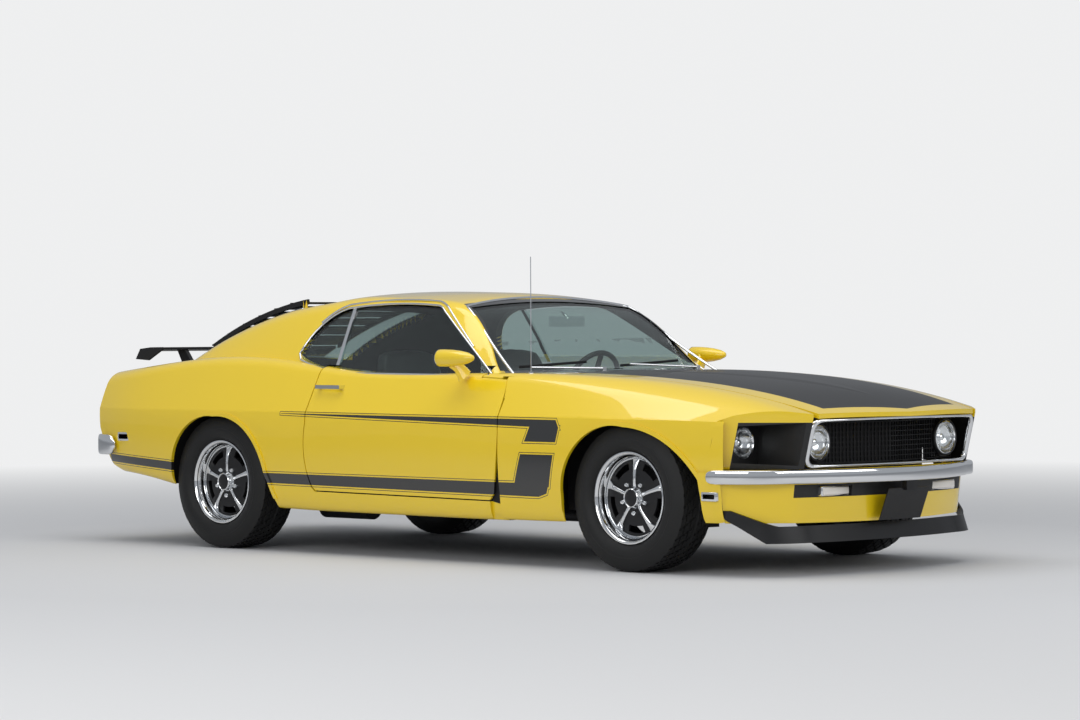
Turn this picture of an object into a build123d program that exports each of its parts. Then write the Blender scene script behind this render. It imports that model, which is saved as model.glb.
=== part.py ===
"""A two-door fastback muscle car, built from named sizes in millimetres.

+X points to the nose, +Y to the driver's left, +Z up. The origin lies on the ground under the
middle of the car. Right-hand pieces are modelled first and mirrored to the left.
"""
import os
from math import cos, degrees, hypot, radians, sin, tan

from build123d import *

# ---- Driving dimensions -------------------------------------------------------------------
wheelbase = 2743.0
front_axle_x = 1427.0
rear_axle_x = front_axle_x - wheelbase
track = 1511.0
tyre_radius = 333.0
tyre_section = 244.0
tread_width = 196.0
rim_radius = 208.0
bead_seat_radius = 190.0
rim_width = 200.0
rim_flange = 8.0
hub_radius = 62.0
spindle_radius = 22.0
running_clearance = 0.5

nose_x = 2366.0
nose_corner_x = 2275.0
nose_half = 597.0
nose_cheek_x = 2002.0
cheek_half = 806.0
lip_z = 697.0
valance_lean = 7.0
valance_top_z = 470.0
tail_x = -2300.0
nose_lean = 14.0
crease_z = 686.0

skin = 10.0
lip_height = 7.0
lip_width = 20.0
lip_low_z = 262.0
shut_gap = 6.0
door_depth = 92.0
door_swing_room = 9.0
lid_thickness = 20.0
roof_wall = 30.0
glass_depth = 5.0
glass_thickness = 6.0

floor_top_z = 246.0
floor_thickness = 20.0
trunk_floor_z = 500.0
firewall_x = 640.0
firewall_thickness = 40.0
bay_half_width = 430.0
wheel_house_y = 600.0
rear_seat_x = -1130.0
seat_step_x = -720.0
seat_pan_z = 470.0
rear_floor_z = 450.0
tunnel_half_width = 120.0
apron_thickness = 18.0
jack_pads_x = (400.0, -550.0)
jack_pad_z = 196.0

door_rear_x = -640.0
door_front_x = 655.0
door_bottom_z = 312.0
sill_z = 880.0
door_top_z = 914.0
door_hinge_setback = 60.0
door_neck_depth = 48.0
door_hinge_y = 868.0
door_hinge_radius = 8.0
door_hinge_heights = (450.0, 670.0)

hood_rear_x = 825.0
cowl_low_z = 810.0
cowl_half = 635.7
hood_rear_half = 630.0
hood_front_half = 560.0
hood_hinge_x = 880.0
hood_hinge_z = 870.0
hinge_pin_radius = 5.0
hinge_lug_radius = 10.0
hinge_groove_radius = 28.0
hinge_width = 14.0
hood_hinge_y = 500.0
deck_hinge_y = 480.0

deck_front_x = -1905.0
lid_gap = 9.0
deck_rear_x = -2240.0
deck_half = 600.0
deck_hinge_setback = 60.0
deck_hinge_z = 894.0
louvre_hinge_x = -1118.0
louvre_hinge_z = 1235.0

backlight_top_x = -1120.0
backlight_bottom_x = -1850.0
backlight_half_top = 470.0
backlight_half_bottom = 520.0

louvre_half = 450.0
louvre_slats = 6

lamp_radius = 73.0
grille_x = 2232.0
grille_sweep = 7.5
grille_margin = 14.0
inner_lamp_y = 465.0
inner_lamp_x = 2212.0
outer_lamp_y = 712.0
outer_lamp_x = 1985.0
lamp_z = 586.0

engine_length = 640.0
steering_ratio = 16.0
gearbox_end_x = 260.0
gearbox_z = 280.0
kingpin_y = 680.0
column_rake = 22.0
wheel_centre = (90.0, 360.0, 800.0)
chin_lean = 20.0
chin_low_z = 148.0
bumper_front_x = 2380.0
plate_half_width = 150.0
plate_height = 152.0
bumper_low_z = 408.0
bumper_high_z = 470.0
bumper_thickness = 14.0

# ---- Body stations ------------------------------------------------------------------------
# Lower body, from tail to nose: height on the centre line, upper corner, its rounding, the
# crease, the lower side and the sill.
LOWER_COLUMNS = ("x", "z_centre", "y_corner", "z_corner", "rounding",
                 "y_crease", "z_crease", "y_low", "y_sill", "z_sill")
LOWER_STATIONS = [
    (-2420.0, 890.0, 735.0, 852.0, 60.0, 790.0, 690.0, 785.0, 735.0, 425.0),
    (-2100.0, 905.0, 775.0, 897.0, 62.0, 858.0, 688.0, 850.0, 800.0, 362.0),
    (-1750.0, 922.0, 778.0, 937.0, 58.0, 890.0, crease_z, 880.0, 835.0, 322.0),
    (rear_axle_x, 935.0, 775.0, 964.0, 58.0, 903.0, crease_z, 893.0, 850.0, 250.0),
    (-850.0, 925.0, 785.0, 938.0, 50.0, 905.0, crease_z, 895.0, 850.0, 216.0),
    (-400.0, 888.0, 800.0, 892.0, 36.0, 905.0, crease_z, 893.0, 848.0, 210.0),
    (200.0, 880.0, 805.0, 884.0, 34.0, 905.0, crease_z, 892.0, 846.0, 208.0),
    (700.0, 893.0, 788.0, 886.0, 50.0, 900.0, crease_z, 890.0, 845.0, 208.0),
    (1250.0, 889.0, 765.0, 862.0, 90.0, 893.0, crease_z, 884.0, 842.0, 214.0),
    (1700.0, 856.0, 735.0, 818.0, 95.0, 878.0, crease_z, 868.0, 830.0, 228.0),
    (2050.0, 806.0, 705.0, 757.0, 60.0, 850.0, 676.0, 838.0, 795.0, 236.0),
    (2400.0, 700.0, 665.0, 676.0, 24.0, 790.0, 640.0, 775.0, 735.0, 220.0),
]
# Upper body, from the deck to the cowl: height on the centre line, roof corner, its rounding
# and the foot of the side glass.
UPPER_COLUMNS = ("x", "z_centre", "y_corner", "z_corner", "rounding", "y_foot")
UPPER_STATIONS = [
    (-2150.0, 872.0, 560.0, 856.0, 30.0, 677.0),
    (-1960.0, 905.0, 590.0, 884.0, 50.0, 717.0),
    (-1764.0, 994.0, 600.0, 974.0, 60.0, 762.0),
    (-1499.0, 1112.0, 588.0, 1086.0, 70.0, 801.0),
    (-1187.0, 1206.0, 582.0, 1172.0, 70.0, 821.0),
    (-818.0, 1258.0, 584.0, 1222.0, 60.0, 841.0),
    (-350.0, 1279.0, 590.0, 1240.0, 56.0, 851.0),
    (0.0, 1262.0, 596.0, 1226.0, 50.0, 856.0),
    (130.0, 1234.0, 600.0, 1204.0, 40.0, 855.0),
    (370.0, 1068.0, 672.0, 1038.0, 34.0, 849.0),
    (610.0, 893.0, 742.0, 874.0, 20.0, 843.0),
]
upper_foot_z = 760.0


# ---- Geometry helpers ---------------------------------------------------------------------
def toward(start, end, distance):
    """The point at a distance from start on the way to end."""
    length = hypot(end[0] - start[0], end[1] - start[1])
    share = distance / length
    return (start[0] + share * (end[0] - start[0]), start[1] + share * (end[1] - start[1]))


def blended(corner, before, after, size):
    """Control points of a rounded corner between two straight runs."""
    entry = toward(corner, before, size)
    leave = toward(corner, after, size)
    return [entry, toward(entry, corner, 0.6 * size), toward(leave, corner, 0.6 * size), leave]


def closed_section(x, half_curves):
    """A closed symmetric section at one station, from the curves of its +Y half."""
    edges = []
    for curve in half_curves:
        edges.append(Bezier(*[Vector(x, y, z) for y, z in curve]))
    foot_y, foot_z = half_curves[-1][-1]
    edges.append(Line(Vector(x, foot_y, foot_z), Vector(x, -foot_y, foot_z)))
    for curve in reversed(half_curves):
        edges.append(Bezier(*[Vector(x, -y, z) for y, z in reversed(curve)]))
    return Wire(edges)


def lower_section(station, inset):
    """One section of the lower body, its sides and top drawn in by an inset."""
    row = dict(zip(LOWER_COLUMNS, station))
    centre = (0.0, row["z_centre"] - inset)
    corner = (row["y_corner"] - inset, row["z_corner"] - inset)
    crease = (row["y_crease"] - inset, row["z_crease"])
    sill = (row["y_sill"] - inset, row["z_sill"] - inset)
    low = (row["y_low"] - inset, row["z_sill"] + 0.26 * (crease[1] - row["z_sill"]))
    crown = (0.45 * corner[0], centre[1])
    bend = blended(corner, crown, crease, row["rounding"])
    run_in = toward(bend[0], crown, row["rounding"])
    drop = crease[1] - low[1]
    rise = low[1] - sill[1]
    shoulder = [bend[-1], toward(bend[-1], crease, row["rounding"]), toward(crease, corner, 20.0)]
    shoulder.append(crease)
    side = [crease, (crease[0] + 5.0, crease[1] - 0.33 * drop), (low[0] + 0.06 * drop, low[1] + 0.33 * drop)]
    side.append(low)
    turn = [low, (low[0] - 0.03 * rise, low[1] - 0.45 * rise), (sill[0] + 0.3 * rise, sill[1]), sill]
    return closed_section(row["x"], [[centre, crown, run_in, bend[0]], bend, shoulder, side, turn])


def upper_section(station, inset):
    """One section of the upper body, its sides and roof drawn in by an inset."""
    row = dict(zip(UPPER_COLUMNS, station))
    centre = (0.0, row["z_centre"] - inset)
    corner = (row["y_corner"] - inset, row["z_corner"] - inset)
    foot = (row["y_foot"] - inset, upper_foot_z)
    crown = (0.5 * corner[0], centre[1])
    bend = blended(corner, crown, foot, row["rounding"])
    run_in = toward(bend[0], crown, row["rounding"])
    middle = (0.5 * (bend[-1][0] + foot[0]) + 8.0, 0.5 * (bend[-1][1] + foot[1]))
    return closed_section(row["x"], [[centre, crown, run_in, bend[0]], bend, [bend[-1], middle, foot]])


def lower_body(inset=0.0):
    return Solid.make_loft([lower_section(station, inset) for station in LOWER_STATIONS])


def upper_body(inset=0.0):
    return Solid.make_loft([upper_section(station, inset) for station in UPPER_STATIONS])


def outline(start, *steps):
    """A closed outline: a step is a point for a line, or a pair of points for an arc."""
    edges = []
    here = start
    for step in steps:
        if isinstance(step[0], tuple):
            edges.append(ThreePointArc(here, step[0], step[1]))
            here = step[1]
        else:
            edges.append(Line(here, step))
            here = step
    if hypot(here[0] - start[0], here[1] - start[1]) > 0.01:
        edges.append(Line(here, start))
    return make_face(Wire(edges))


def side_prism(face, y_from, y_to):
    """Extrude an outline drawn in x and z between two values of y."""
    plane = Plane(origin=(0, y_to, 0), x_dir=(1, 0, 0), z_dir=(0, -1, 0))
    return extrude(plane * face, amount=y_to - y_from)


def plan_prism(face, z_from, z_to):
    return extrude(Pos(0, 0, z_from) * face, amount=z_to - z_from)


def front_prism(face, x_from, x_to):
    """Extrude an outline drawn in y and z between two values of x."""
    plane = Plane(origin=(x_from, 0, 0), x_dir=(0, 1, 0), z_dir=(1, 0, 0))
    return extrude(plane * face, amount=x_to - x_from)


def block(x0, x1, y0, y1, z0, z1):
    return Pos((x0 + x1) / 2, (y0 + y1) / 2, (z0 + z1) / 2) * Box(x1 - x0, y1 - y0, z1 - z0)


def rod(start, end, radius):
    """A round bar from one point to another."""
    line = Vector(*end) - Vector(*start)
    plane = Plane(origin=start, z_dir=line)
    return extrude(plane * Circle(radius), amount=line.length)


def bar(points, radius):
    """A round bar bent along several points, with a ball at each bend."""
    pieces = [rod(a, b, radius) for a, b in zip(points, points[1:])]
    pieces += [Pos(*point) * Sphere(radius) for point in points[1:-1]]
    return joined(pieces)


def joined(shapes):
    result = shapes[0]
    for shape in shapes[1:]:
        result = result + shape
    return result


def other_side(shape):
    return mirror(shape, about=Plane.XZ)


def both_sides(shape):
    return shape + other_side(shape)


def turned(profile_points, x, y, z):
    """Revolve a profile of (radius, y) points or arcs about a line along Y."""
    face = outline(profile_points[0], *profile_points[1:])
    spun = revolve(face, axis=Axis.Y, revolution_arc=360)
    return Pos(x, y, z) * spun


def write(name, shape):
    export_step(shape, f"parts/{name}.step")


# ---- Trimmed body volumes -----------------------------------------------------------------
def nose_plan(setback):
    """Plan of the nose at its upper lip: a shallow V, then cut back along each lamp housing."""
    x = nose_x - setback
    corner_x = nose_corner_x - setback
    cheek_x = nose_cheek_x - setback
    return outline(
        (-3000.0, -1200.0), (cheek_x - 52.0, -1200.0), (cheek_x - 52.0, -cheek_half - 50.0),
        (cheek_x, -cheek_half), ((cheek_x + 140.0, -cheek_half + 95.0), (corner_x, -nose_half)),
        ((0.3 * corner_x + 0.7 * x, -0.5 * nose_half), (x, 0.0)),
        ((0.3 * corner_x + 0.7 * x, 0.5 * nose_half), (corner_x, nose_half)),
        ((cheek_x + 140.0, cheek_half - 95.0), (cheek_x, cheek_half)),
        (cheek_x - 52.0, cheek_half + 50.0), (cheek_x - 52.0, 1200.0), (-3000.0, 1200.0))


def nose_volume(setback=0.0):
    """Everything behind the forward-leaning, V-shaped nose."""
    lean = tan(radians(nose_lean))
    drop = lip_z - 100.0
    start = Pos(-lean * drop, 0, lip_z - drop) * nose_plan(setback)
    below = extrude(start, amount=hypot(drop, lean * drop), dir=(lean, 0, 1))
    above = extrude(Pos(0, 0, lip_z) * nose_plan(setback), amount=900.0)
    return below + above


def valance_volume(setback=0.0):
    """Everything behind the steeper panel below the bumper."""
    lean = tan(radians(valance_lean))
    height = valance_top_z - 100.0
    plan = outline(
        (-3000.0, -1200.0), (1950.0 - setback, -1200.0), (1950.0 - setback, -870.0),
        (1990.0 - setback, -822.0), ((2105.0 - setback, -720.0), (2196.0 - setback, -590.0)),
        ((2266.0 - setback, -295.0), (2290.0 - setback, 0.0)), ((2266.0 - setback, 295.0), (2196.0 - setback, 590.0)),
        ((2105.0 - setback, 720.0), (1990.0 - setback, 822.0)), (1950.0 - setback, 870.0),
        (1950.0 - setback, 1200.0), (-3000.0, 1200.0))
    start = Pos(-lean * height, 0, valance_top_z - height) * plan
    return extrude(start, amount=hypot(height, lean * height) + 60.0, dir=(lean, 0, 1))


def tail_volume():
    """Everything ahead of the tail panel, which leans in towards the bottom."""
    face = outline((3000.0, 100.0), (3000.0, 1500.0), (-2262.0, 1500.0), (-2270.0, 890.0),
                   ((tail_x, 770.0), (tail_x + 8.0, 590.0)), (-2190.0, 400.0), (-2060.0, 340.0),
                   (-2040.0, 100.0))
    return side_prism(face, -1200.0, 1200.0)


def rear_arch():
    """The opening over a rear wheel, in side view."""
    x = rear_axle_x
    return outline(
        (x - 345.0, 120.0), (x - 342.0, 333.0), ((x - 235.0, 590.0), (x, 662.0)),
        ((x + 262.0, 578.0), (x + 375.0, 385.0)), (x + 440.0, 240.0), (x + 450.0, 120.0))


def front_arch():
    """The opening over a front wheel, in side view, longer for its steering."""
    x = front_axle_x
    return outline(
        (x - 378.0, 120.0), (x - 376.0, 333.0), ((x - 262.0, 584.0), (x, 652.0)),
        ((x + 262.0, 574.0), (x + 426.0, 421.0)), (x + 575.0, 270.0), (x + 600.0, 120.0))


def arch_lip(arch):
    """A raised lip that follows a right-hand wheel opening."""
    rim = side_prism(offset(arch, lip_width), -1200.0, -480.0)
    rim = rim & block(-3000.0, 3000.0, -1200.0, 0.0, lip_low_z, 1200.0)
    return (lower_lip & rim) - lower_under_skin - side_prism(arch, -1200.0, -480.0)


def door_outline(grow=0.0):
    """The door's shut line in side view, grown outwards by a margin."""
    g = grow
    return outline(
        (door_rear_x + 8.0 - g, 1000.0), (door_rear_x - g, 640.0),
        ((door_rear_x + 4.0 - g, 420.0), (door_rear_x + 34.0 - g, door_bottom_z + 18.0 - g)),
        (door_rear_x + 56.0 - g, door_bottom_z - g), (door_front_x - 62.0 + g, door_bottom_z - 12.0 - g),
        (door_front_x - 32.0 + g, door_bottom_z + 20.0 - g),
        ((door_front_x + 1.0 + g, 600.0), (door_front_x - 8.0 + g, 790.0)),
        ((door_front_x - 34.0 + g, 880.0), (door_front_x - 110.0 + g, 1000.0)))


def window_outline(grow=0.0):
    """The side glass opening from the windshield pillar to the sharp rear corner."""
    g = grow
    return outline(
        (497.0 + g, sill_z - 2.0 - g), (40.0 + g, 1174.0 + g), ((12.0, 1194.0 + g), (-30.0, 1204.0 + g)),
        ((-330.0, 1213.0 + g), (-640.0, 1193.0 + g)), ((-770.0 - g, 1130.0), (-868.0 - g, 975.0)),
        (-840.0 - g, 948.0 - g), ((-600.0, 898.0 - g), (-340.0, sill_z + 4.0 - g)))


divider_low = (-556.0, 892.0)
divider_high = (-593.0, 1154.0)
divider_half = 11.0


def divider_line(offset, z):
    """A point at a height on the divider's slanted line, moved along the car by an offset."""
    slope = (divider_high[0] - divider_low[0]) / (divider_high[1] - divider_low[1])
    return (divider_low[0] + slope * (z - divider_low[1]) + offset, z)


def ahead_of_divider(offset):
    """Side view of everything ahead of the divider's line."""
    return outline(divider_line(offset, 700.0), (800.0, 700.0), (800.0, 1300.0), divider_line(offset, 1300.0))


def hood_outline(grow=0.0):
    g = grow
    return outline(
        (hood_rear_x - g, 0.0), (hood_rear_x - g, -hood_rear_half - g),
        ((1500.0, -hood_rear_half + 2.0 - g), (2320.0, -hood_front_half - g)),
        (2500.0, -hood_front_half - g), (2500.0, hood_front_half + g), (2320.0, hood_front_half + g),
        ((1500.0, hood_rear_half - 2.0 + g), (hood_rear_x - g, hood_rear_half + g)))


def deck_outline(grow=0.0, front_grow=0.0):
    front = deck_front_x + front_grow
    rear = deck_rear_x - grow
    return Pos((front + rear) / 2, 0) * RectangleRounded(front - rear, 2 * (deck_half + grow), 30.0 + grow)


def windshield_outline(grow=0.0):
    g = grow
    return outline((-716.0 - g, 896.0 - g), (716.0 + g, 896.0 - g), (566.0 + g, 1196.0 + g),
                   ((0.0, 1226.0 + g), (-566.0 - g, 1196.0 + g)))


def backlight_outline(grow=0.0):
    g = grow
    return outline(
        (backlight_top_x + g, -backlight_half_top - g), (backlight_bottom_x - g, -backlight_half_bottom - g),
        (backlight_bottom_x - g, backlight_half_bottom + g), (backlight_top_x + g, backlight_half_top + g))


# ---- Body panels --------------------------------------------------------------------------
lower = lower_body()
upper = upper_body()
lower_under_skin = lower_body(skin)
lower_lip = lower_body(-lip_height)
lower_lid_skin = lower_body(4.0)
lower_rabbet = lower_body(skin + shut_gap)
lower_behind_door = lower_body(door_depth)
lower_under_lid = lower_body(lid_thickness)
glass_layer = upper_body(glass_depth) - upper_body(glass_depth + glass_thickness)
envelope = (lower + upper) & nose_volume() & tail_volume()
pillar_x = 470.0
pillar_foot_y = 800.0
pillar_foot_z = 850.0
firewall_front = firewall_x + firewall_thickness
fender_rear_x = door_front_x + shut_gap


def door_inner_outline(grow=0.0):
    """The inner box of a door, inset from the shut line of its skin."""
    g = grow
    return outline(
        (door_rear_x + 30.0 - g, 1000.0), (door_rear_x + 26.0 - g, 640.0),
        ((door_rear_x + 30.0 - g, 450.0), (door_rear_x + 60.0 - g, door_bottom_z + 30.0 - g)),
        (door_front_x - 70.0 + g, door_bottom_z + 18.0 - g), (door_front_x - 40.0 + g, 420.0),
        (door_front_x - 40.0 + g, 860.0), (door_front_x - 90.0 + g, 1000.0))


def door_holes():
    """A rabbet for the skin of the right door, and a deeper hole for its inner box."""
    side = block(-3000.0, 3000.0, -1200, -695, 0, door_top_z + shut_gap)
    side -= block(pillar_x, 800.0, -pillar_foot_y, 0.0, pillar_foot_z, 1300.0)
    skin_hole = (side_prism(door_outline(shut_gap), -1200.0, 0.0) & side) - lower_rabbet
    box_hole = side_prism(door_inner_outline(shut_gap), -1200.0, 0.0) & side
    return [skin_hole, box_hole]


def body_cuts():
    """Everything that is cut from the solid envelope to leave the welded shell."""
    under_floor_z = floor_top_z - floor_thickness
    cuts = [block(firewall_front, 3000.0, -1200, 1200, 0.0, cowl_low_z)]
    cuts.append(block(hood_rear_x - lid_gap, 3000.0, -1200, 1200, 0.0, 1500.0))
    cuts.append(block(firewall_front, 3000.0, -1200, -cowl_half, 0.0, 1500.0))
    cuts.append(block(firewall_front, 3000.0, cowl_half, 1200, 0.0, 1500.0))
    cuts.append(block(seat_step_x - 21.0, firewall_front, -700, 700, 100.0, under_floor_z))
    cuts.append(block(-2190.0, seat_step_x - 20.0, -590, 590, 100.0, rear_floor_z))
    cabin_full = block(rear_axle_x + 430.0, firewall_x - 90.0, -800, 800, floor_top_z, 1000.0)
    cabin_rear = block(rear_seat_x, 0.0, -wheel_house_y + 15.0, wheel_house_y - 15.0, floor_top_z, 1000.0)
    cuts.append(lower_behind_door & (cabin_full + cabin_rear))
    cuts.append(upper_body(roof_wall) & block(-1900.0, 640.0, -800, 800, 770.0, 1400.0))
    trunk = block(tail_x + 60.0, rear_seat_x - 30.0, -wheel_house_y + 20.0, wheel_house_y - 20.0,
                  trunk_floor_z, 1000.0)
    cuts.append(lower_body(lid_thickness + 20.0) & trunk)
    well = outline(
        (rear_axle_x - 380.0, 100.0), (rear_axle_x - 380.0, 340.0),
        ((rear_axle_x - 270.0, 610.0), (rear_axle_x, 715.0)),
        ((rear_axle_x + 270.0, 610.0), (rear_axle_x + 380.0, 340.0)), (rear_axle_x + 470.0, 100.0))
    side_cuts = [side_prism(well, -1000.0, -wheel_house_y) & lower_under_skin]
    side_cuts.append(side_prism(rear_arch(), -1000.0, -700.0))
    side_cuts.append(block(door_front_x - 60.0, 800.0, -1200, -600, 100.0, 872.0) - lower_rabbet)
    side_cuts += door_holes()
    for z in door_hinge_heights:
        side_cuts.append(block(door_front_x - 60.0, 800.0, -1200.0, -785.0, z - 24.0, z + 24.0))
    side_cuts.append(block(rear_axle_x - 90.0, rear_axle_x + 90.0, -605.0, -585.0, 100.0, rear_floor_z))
    for cut in side_cuts:
        cuts += [cut, other_side(cut)]
    cuts.append(side_prism(window_outline(), -1200.0, 1200.0))
    cuts.append(front_prism(windshield_outline(), 60.0, 900.0))
    cuts.append(plan_prism(backlight_outline(), 930.0, 1400.0))
    cuts.append(plan_prism(deck_outline(shut_gap, lid_gap), 840.0, 1000.0))
    return cuts


def body_shell():
    """Roof, pillars, quarters, floor, firewall and tail in one welded shell."""
    shell = envelope + both_sides(arch_lip(rear_arch()))
    for cut in body_cuts():
        shell -= cut
    shell += block(rear_seat_x - 1.0, seat_step_x, -wheel_house_y, wheel_house_y, rear_floor_z, seat_pan_z)
    shell += block(seat_step_x - 20.0, seat_step_x, -wheel_house_y, wheel_house_y, floor_top_z - 1.0, seat_pan_z)
    for pad_x in jack_pads_x:
        shell += both_sides(block(pad_x - 45.0, pad_x + 45.0, -650.0, -590.0, jack_pad_z, floor_top_z - 10.0))
    hump = side_prism(tunnel_outline(0.0), -tunnel_half_width, tunnel_half_width)
    shell += hump
    x = deck_front_x - deck_hinge_setback
    for side in (-1, 1):
        near = side * (deck_hinge_y + hinge_width / 2 + 1.0)
        far = side * (deck_half + 14.0)
        shell += block(x - 7.0, x + 7.0, min(near, far), max(near, far), deck_hinge_z - 22.0, deck_hinge_z - 8.0)
        shell += block(x - 6.0, x + 6.0, min(near, near + side * 8.0), max(near, near + side * 8.0),
                       deck_hinge_z - 20.0, deck_hinge_z)
        shell += hinge_pin(x, side * deck_hinge_y, deck_hinge_z, near + side * 8.0)
        post_y = side * (louvre_half + 6.0)
        shell += block(louvre_hinge_x - 12.0, louvre_hinge_x + 12.0, post_y - 5.0, post_y + 5.0,
                       1195.0, louvre_hinge_z + 9.0)
        shell += rod((louvre_hinge_x, side * (louvre_half - 14.0), louvre_hinge_z),
                     (louvre_hinge_x, post_y, louvre_hinge_z), hinge_pin_radius)
    return shell - side_prism(tunnel_outline(-30.0), 30.0 - tunnel_half_width, tunnel_half_width - 30.0)


def tunnel_outline(grow):
    """Side view of the tunnel over the drive shaft, or of the hollow under it."""
    low = floor_top_z - 2.0 if grow == 0.0 else 100.0
    end = seat_step_x - 10.0 if grow == 0.0 else seat_step_x - 200.0
    front = firewall_x - 60.0 if grow == 0.0 else firewall_front
    return outline((end, low), (end, 400.0 + grow), (200.0, 360.0 + grow), (front, 430.0 + grow), (front, low))


def door():
    """A door: an outer skin that laps its jamb, and the inner box behind it."""
    side = block(-3000.0, 3000.0, -1200, -695, 0, 2000)
    panel = (lower & side_prism(door_outline(), -1200.0, 0.0) & side) - lower_under_skin
    box = (lower & side_prism(door_inner_outline(-door_swing_room), -1200.0, 0.0) & side) - lower_behind_door
    panel = panel + box
    panel -= block(pillar_x - shut_gap, 800.0, -pillar_foot_y - shut_gap, 0.0, pillar_foot_z - shut_gap, 1300.0)
    for z in door_hinge_heights:
        panel += hinge_arm(z)
    return panel


def hinge_arm(z):
    """A goose-necked arm from the door's front face to its pin behind the fender's edge."""
    pin = (door_front_x + door_hinge_setback, -door_hinge_y)
    near = pin[1] + door_neck_depth
    far = near + 12.0
    neck = outline((pin[0] - 7.0, pin[1]), (pin[0] + 7.0, pin[1]), (pin[0] + 2.0, far),
                   (door_front_x - 58.0, far), (door_front_x - 58.0, near), (pin[0] - 11.0, near))
    arm = plan_prism(neck, z - 16.0, z + 16.0)
    return arm + Pos(pin[0], pin[1], z) * Cylinder(door_hinge_radius, 32.0)


def front_structure():
    """Inner aprons, shock towers and radiator support, welded to the firewall."""
    z_low = 300.0
    rail = block(firewall_front, 2080.0, -bay_half_width - apron_thickness, -bay_half_width, z_low, 735.0)
    shelf = block(firewall_front, 1950.0, -lamp_outer_reach(), -bay_half_width, 720.0, 735.0)
    shelf &= nose_volume(60.0) & lower_body(60.0)
    side = rail + shelf
    tower = block(front_axle_x - 120.0, front_axle_x + 120.0, -620.0, -bay_half_width, 735.0, 772.0)
    side += tower & lower_body(40.0)
    support = block(2060.0, 2080.0, -bay_half_width - apron_thickness, bay_half_width + apron_thickness,
                    z_low, 735.0)
    support -= block(2000.0, 2100.0, -300.0, 300.0, 380.0, 700.0)
    cross_rails = both_sides(block(firewall_front, 2080.0, -bay_half_width - apron_thickness,
                                   -bay_half_width + 60.0, z_low - 60.0, z_low))
    near = hood_hinge_y + hinge_width / 2 + 1.0
    post = block(hood_hinge_x - 7.0, hood_hinge_x + 7.0, -near - 8.0, -near, 730.0, hood_hinge_z)
    post += hinge_pin(hood_hinge_x, -hood_hinge_y, hood_hinge_z, -near - 8.0)
    stays = block(2070.0, 2350.0, -215.0, -185.0, 395.0, 425.0) & valance_volume(skin + 0.3)
    stays += block(2070.0, inner_lamp_x - 62.3, -475.0, -440.0, 576.0, 596.0)
    middle = block(2070.0, grille_x - 1.4, -8.0, 8.0, 672.0, 700.0) + block(2060.0, 2080.0, -8.0, 8.0, 672.0, 735.0)
    return both_sides(side + post + stays) + support + cross_rails + middle


def lamp_outer_reach():
    return 700.0


def fender():
    """The right front fender, open over its wheel and cut back at the lamp housing."""
    side = block(fender_rear_x, 2060.0, -1200.0, -480.0, 100.0, 1200.0)
    panel = (lower & side) - lower_under_skin
    panel &= nose_volume()
    panel += arch_lip(front_arch())
    panel -= side_prism(front_arch(), -1200.0, -480.0)
    panel -= plan_prism(hood_outline(shut_gap), 400.0, 1200.0)
    panel -= block(0.0, hood_rear_x + 50.0, -hood_rear_half - shut_gap, 0.0, 0.0, 1200.0)
    panel -= side_prism(lamp_seam(), -1200.0, -480.0)
    panel -= block(1960.0, 3000.0, -1200.0, 0.0, 100.0, 472.0)
    return panel - block(fender_rear_x, firewall_front, -1200.0, 0.0, 872.0, 1200.0)


def lamp_seam():
    """Everything ahead of the seam between a fender and its lamp housing."""
    return outline((1915.0, 100.0), (1915.0, 435.0), (1962.0, 671.0), (1980.0, 1000.0),
                   (3000.0, 1000.0), (3000.0, 100.0))


def lamp_housing():
    """The right lamp housing: the fender's forward end with a deep square recess."""
    region = side_prism(lamp_seam(), -1200.0, -591.3) & block(1800.0, 3000.0, -1200.0, 0.0, 472.0, 1200.0)
    solid = envelope & region
    solid -= plan_prism(hood_outline(shut_gap), 400.0, 1200.0)
    solid -= lower_under_skin & nose_volume(skin) & block(1800.0, 1968.0, -1200.0, 0.0, 0.0, 1200.0)
    recess = outline((-792.0, 500.0), (-612.0, 488.0), (-612.0, 676.0), (-792.0, 662.0))
    solid -= front_prism(recess, outer_lamp_x - 6.0, 2600.0)
    solid -= Pos(1960.0, -outer_lamp_y, lamp_z) * Rot(0, 90, 0) * Cylinder(lamp_radius + 0.5, 90.0)
    return solid


def hood():
    """The hood: a pressed lid with a raised spine, hinged at its rear corners."""
    lid = (envelope - lower_under_lid) & plan_prism(hood_outline(), 600.0, 1200.0)
    lid &= block(0.0, 3000.0, -1200.0, 1200.0, 690.0, 1200.0)
    for side in (-1, 1):
        lid -= hinge_groove(hood_hinge_x, side * (hood_hinge_y + 4.0), hood_hinge_z, 36.0)
        lid += hinge_lug(hood_hinge_x, side * hood_hinge_y, hood_hinge_z) & envelope
    return lid


def hinge_lug(x, y, z):
    """A drilled lug that hangs from the skin of a lid."""
    turn = Pos(x, y, z) * Rot(90, 0, 0)
    lug = turn * Cylinder(hinge_lug_radius, hinge_width)
    lug += block(x - 8.0, x + 8.0, y - hinge_width / 2, y + hinge_width / 2, z, z + 40.0)
    return lug - turn * Cylinder(hinge_pin_radius + 0.3, 2 * hinge_width)


def hinge_groove(x, y, z, width):
    """Room in the underside of a lid for a hinge's fixed arm, under a thin skin."""
    return (Pos(x, y, z) * Rot(90, 0, 0) * Cylinder(hinge_groove_radius, width)) & lower_lid_skin


def hinge_pin(x, y, z, far_y):
    """The pin of a lid's hinge, from inside its lug to the arm that carries it."""
    return rod((x, y - (1 if y > 0 else -1) * hinge_width / 2, z), (x, far_y, z), hinge_pin_radius)


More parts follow.
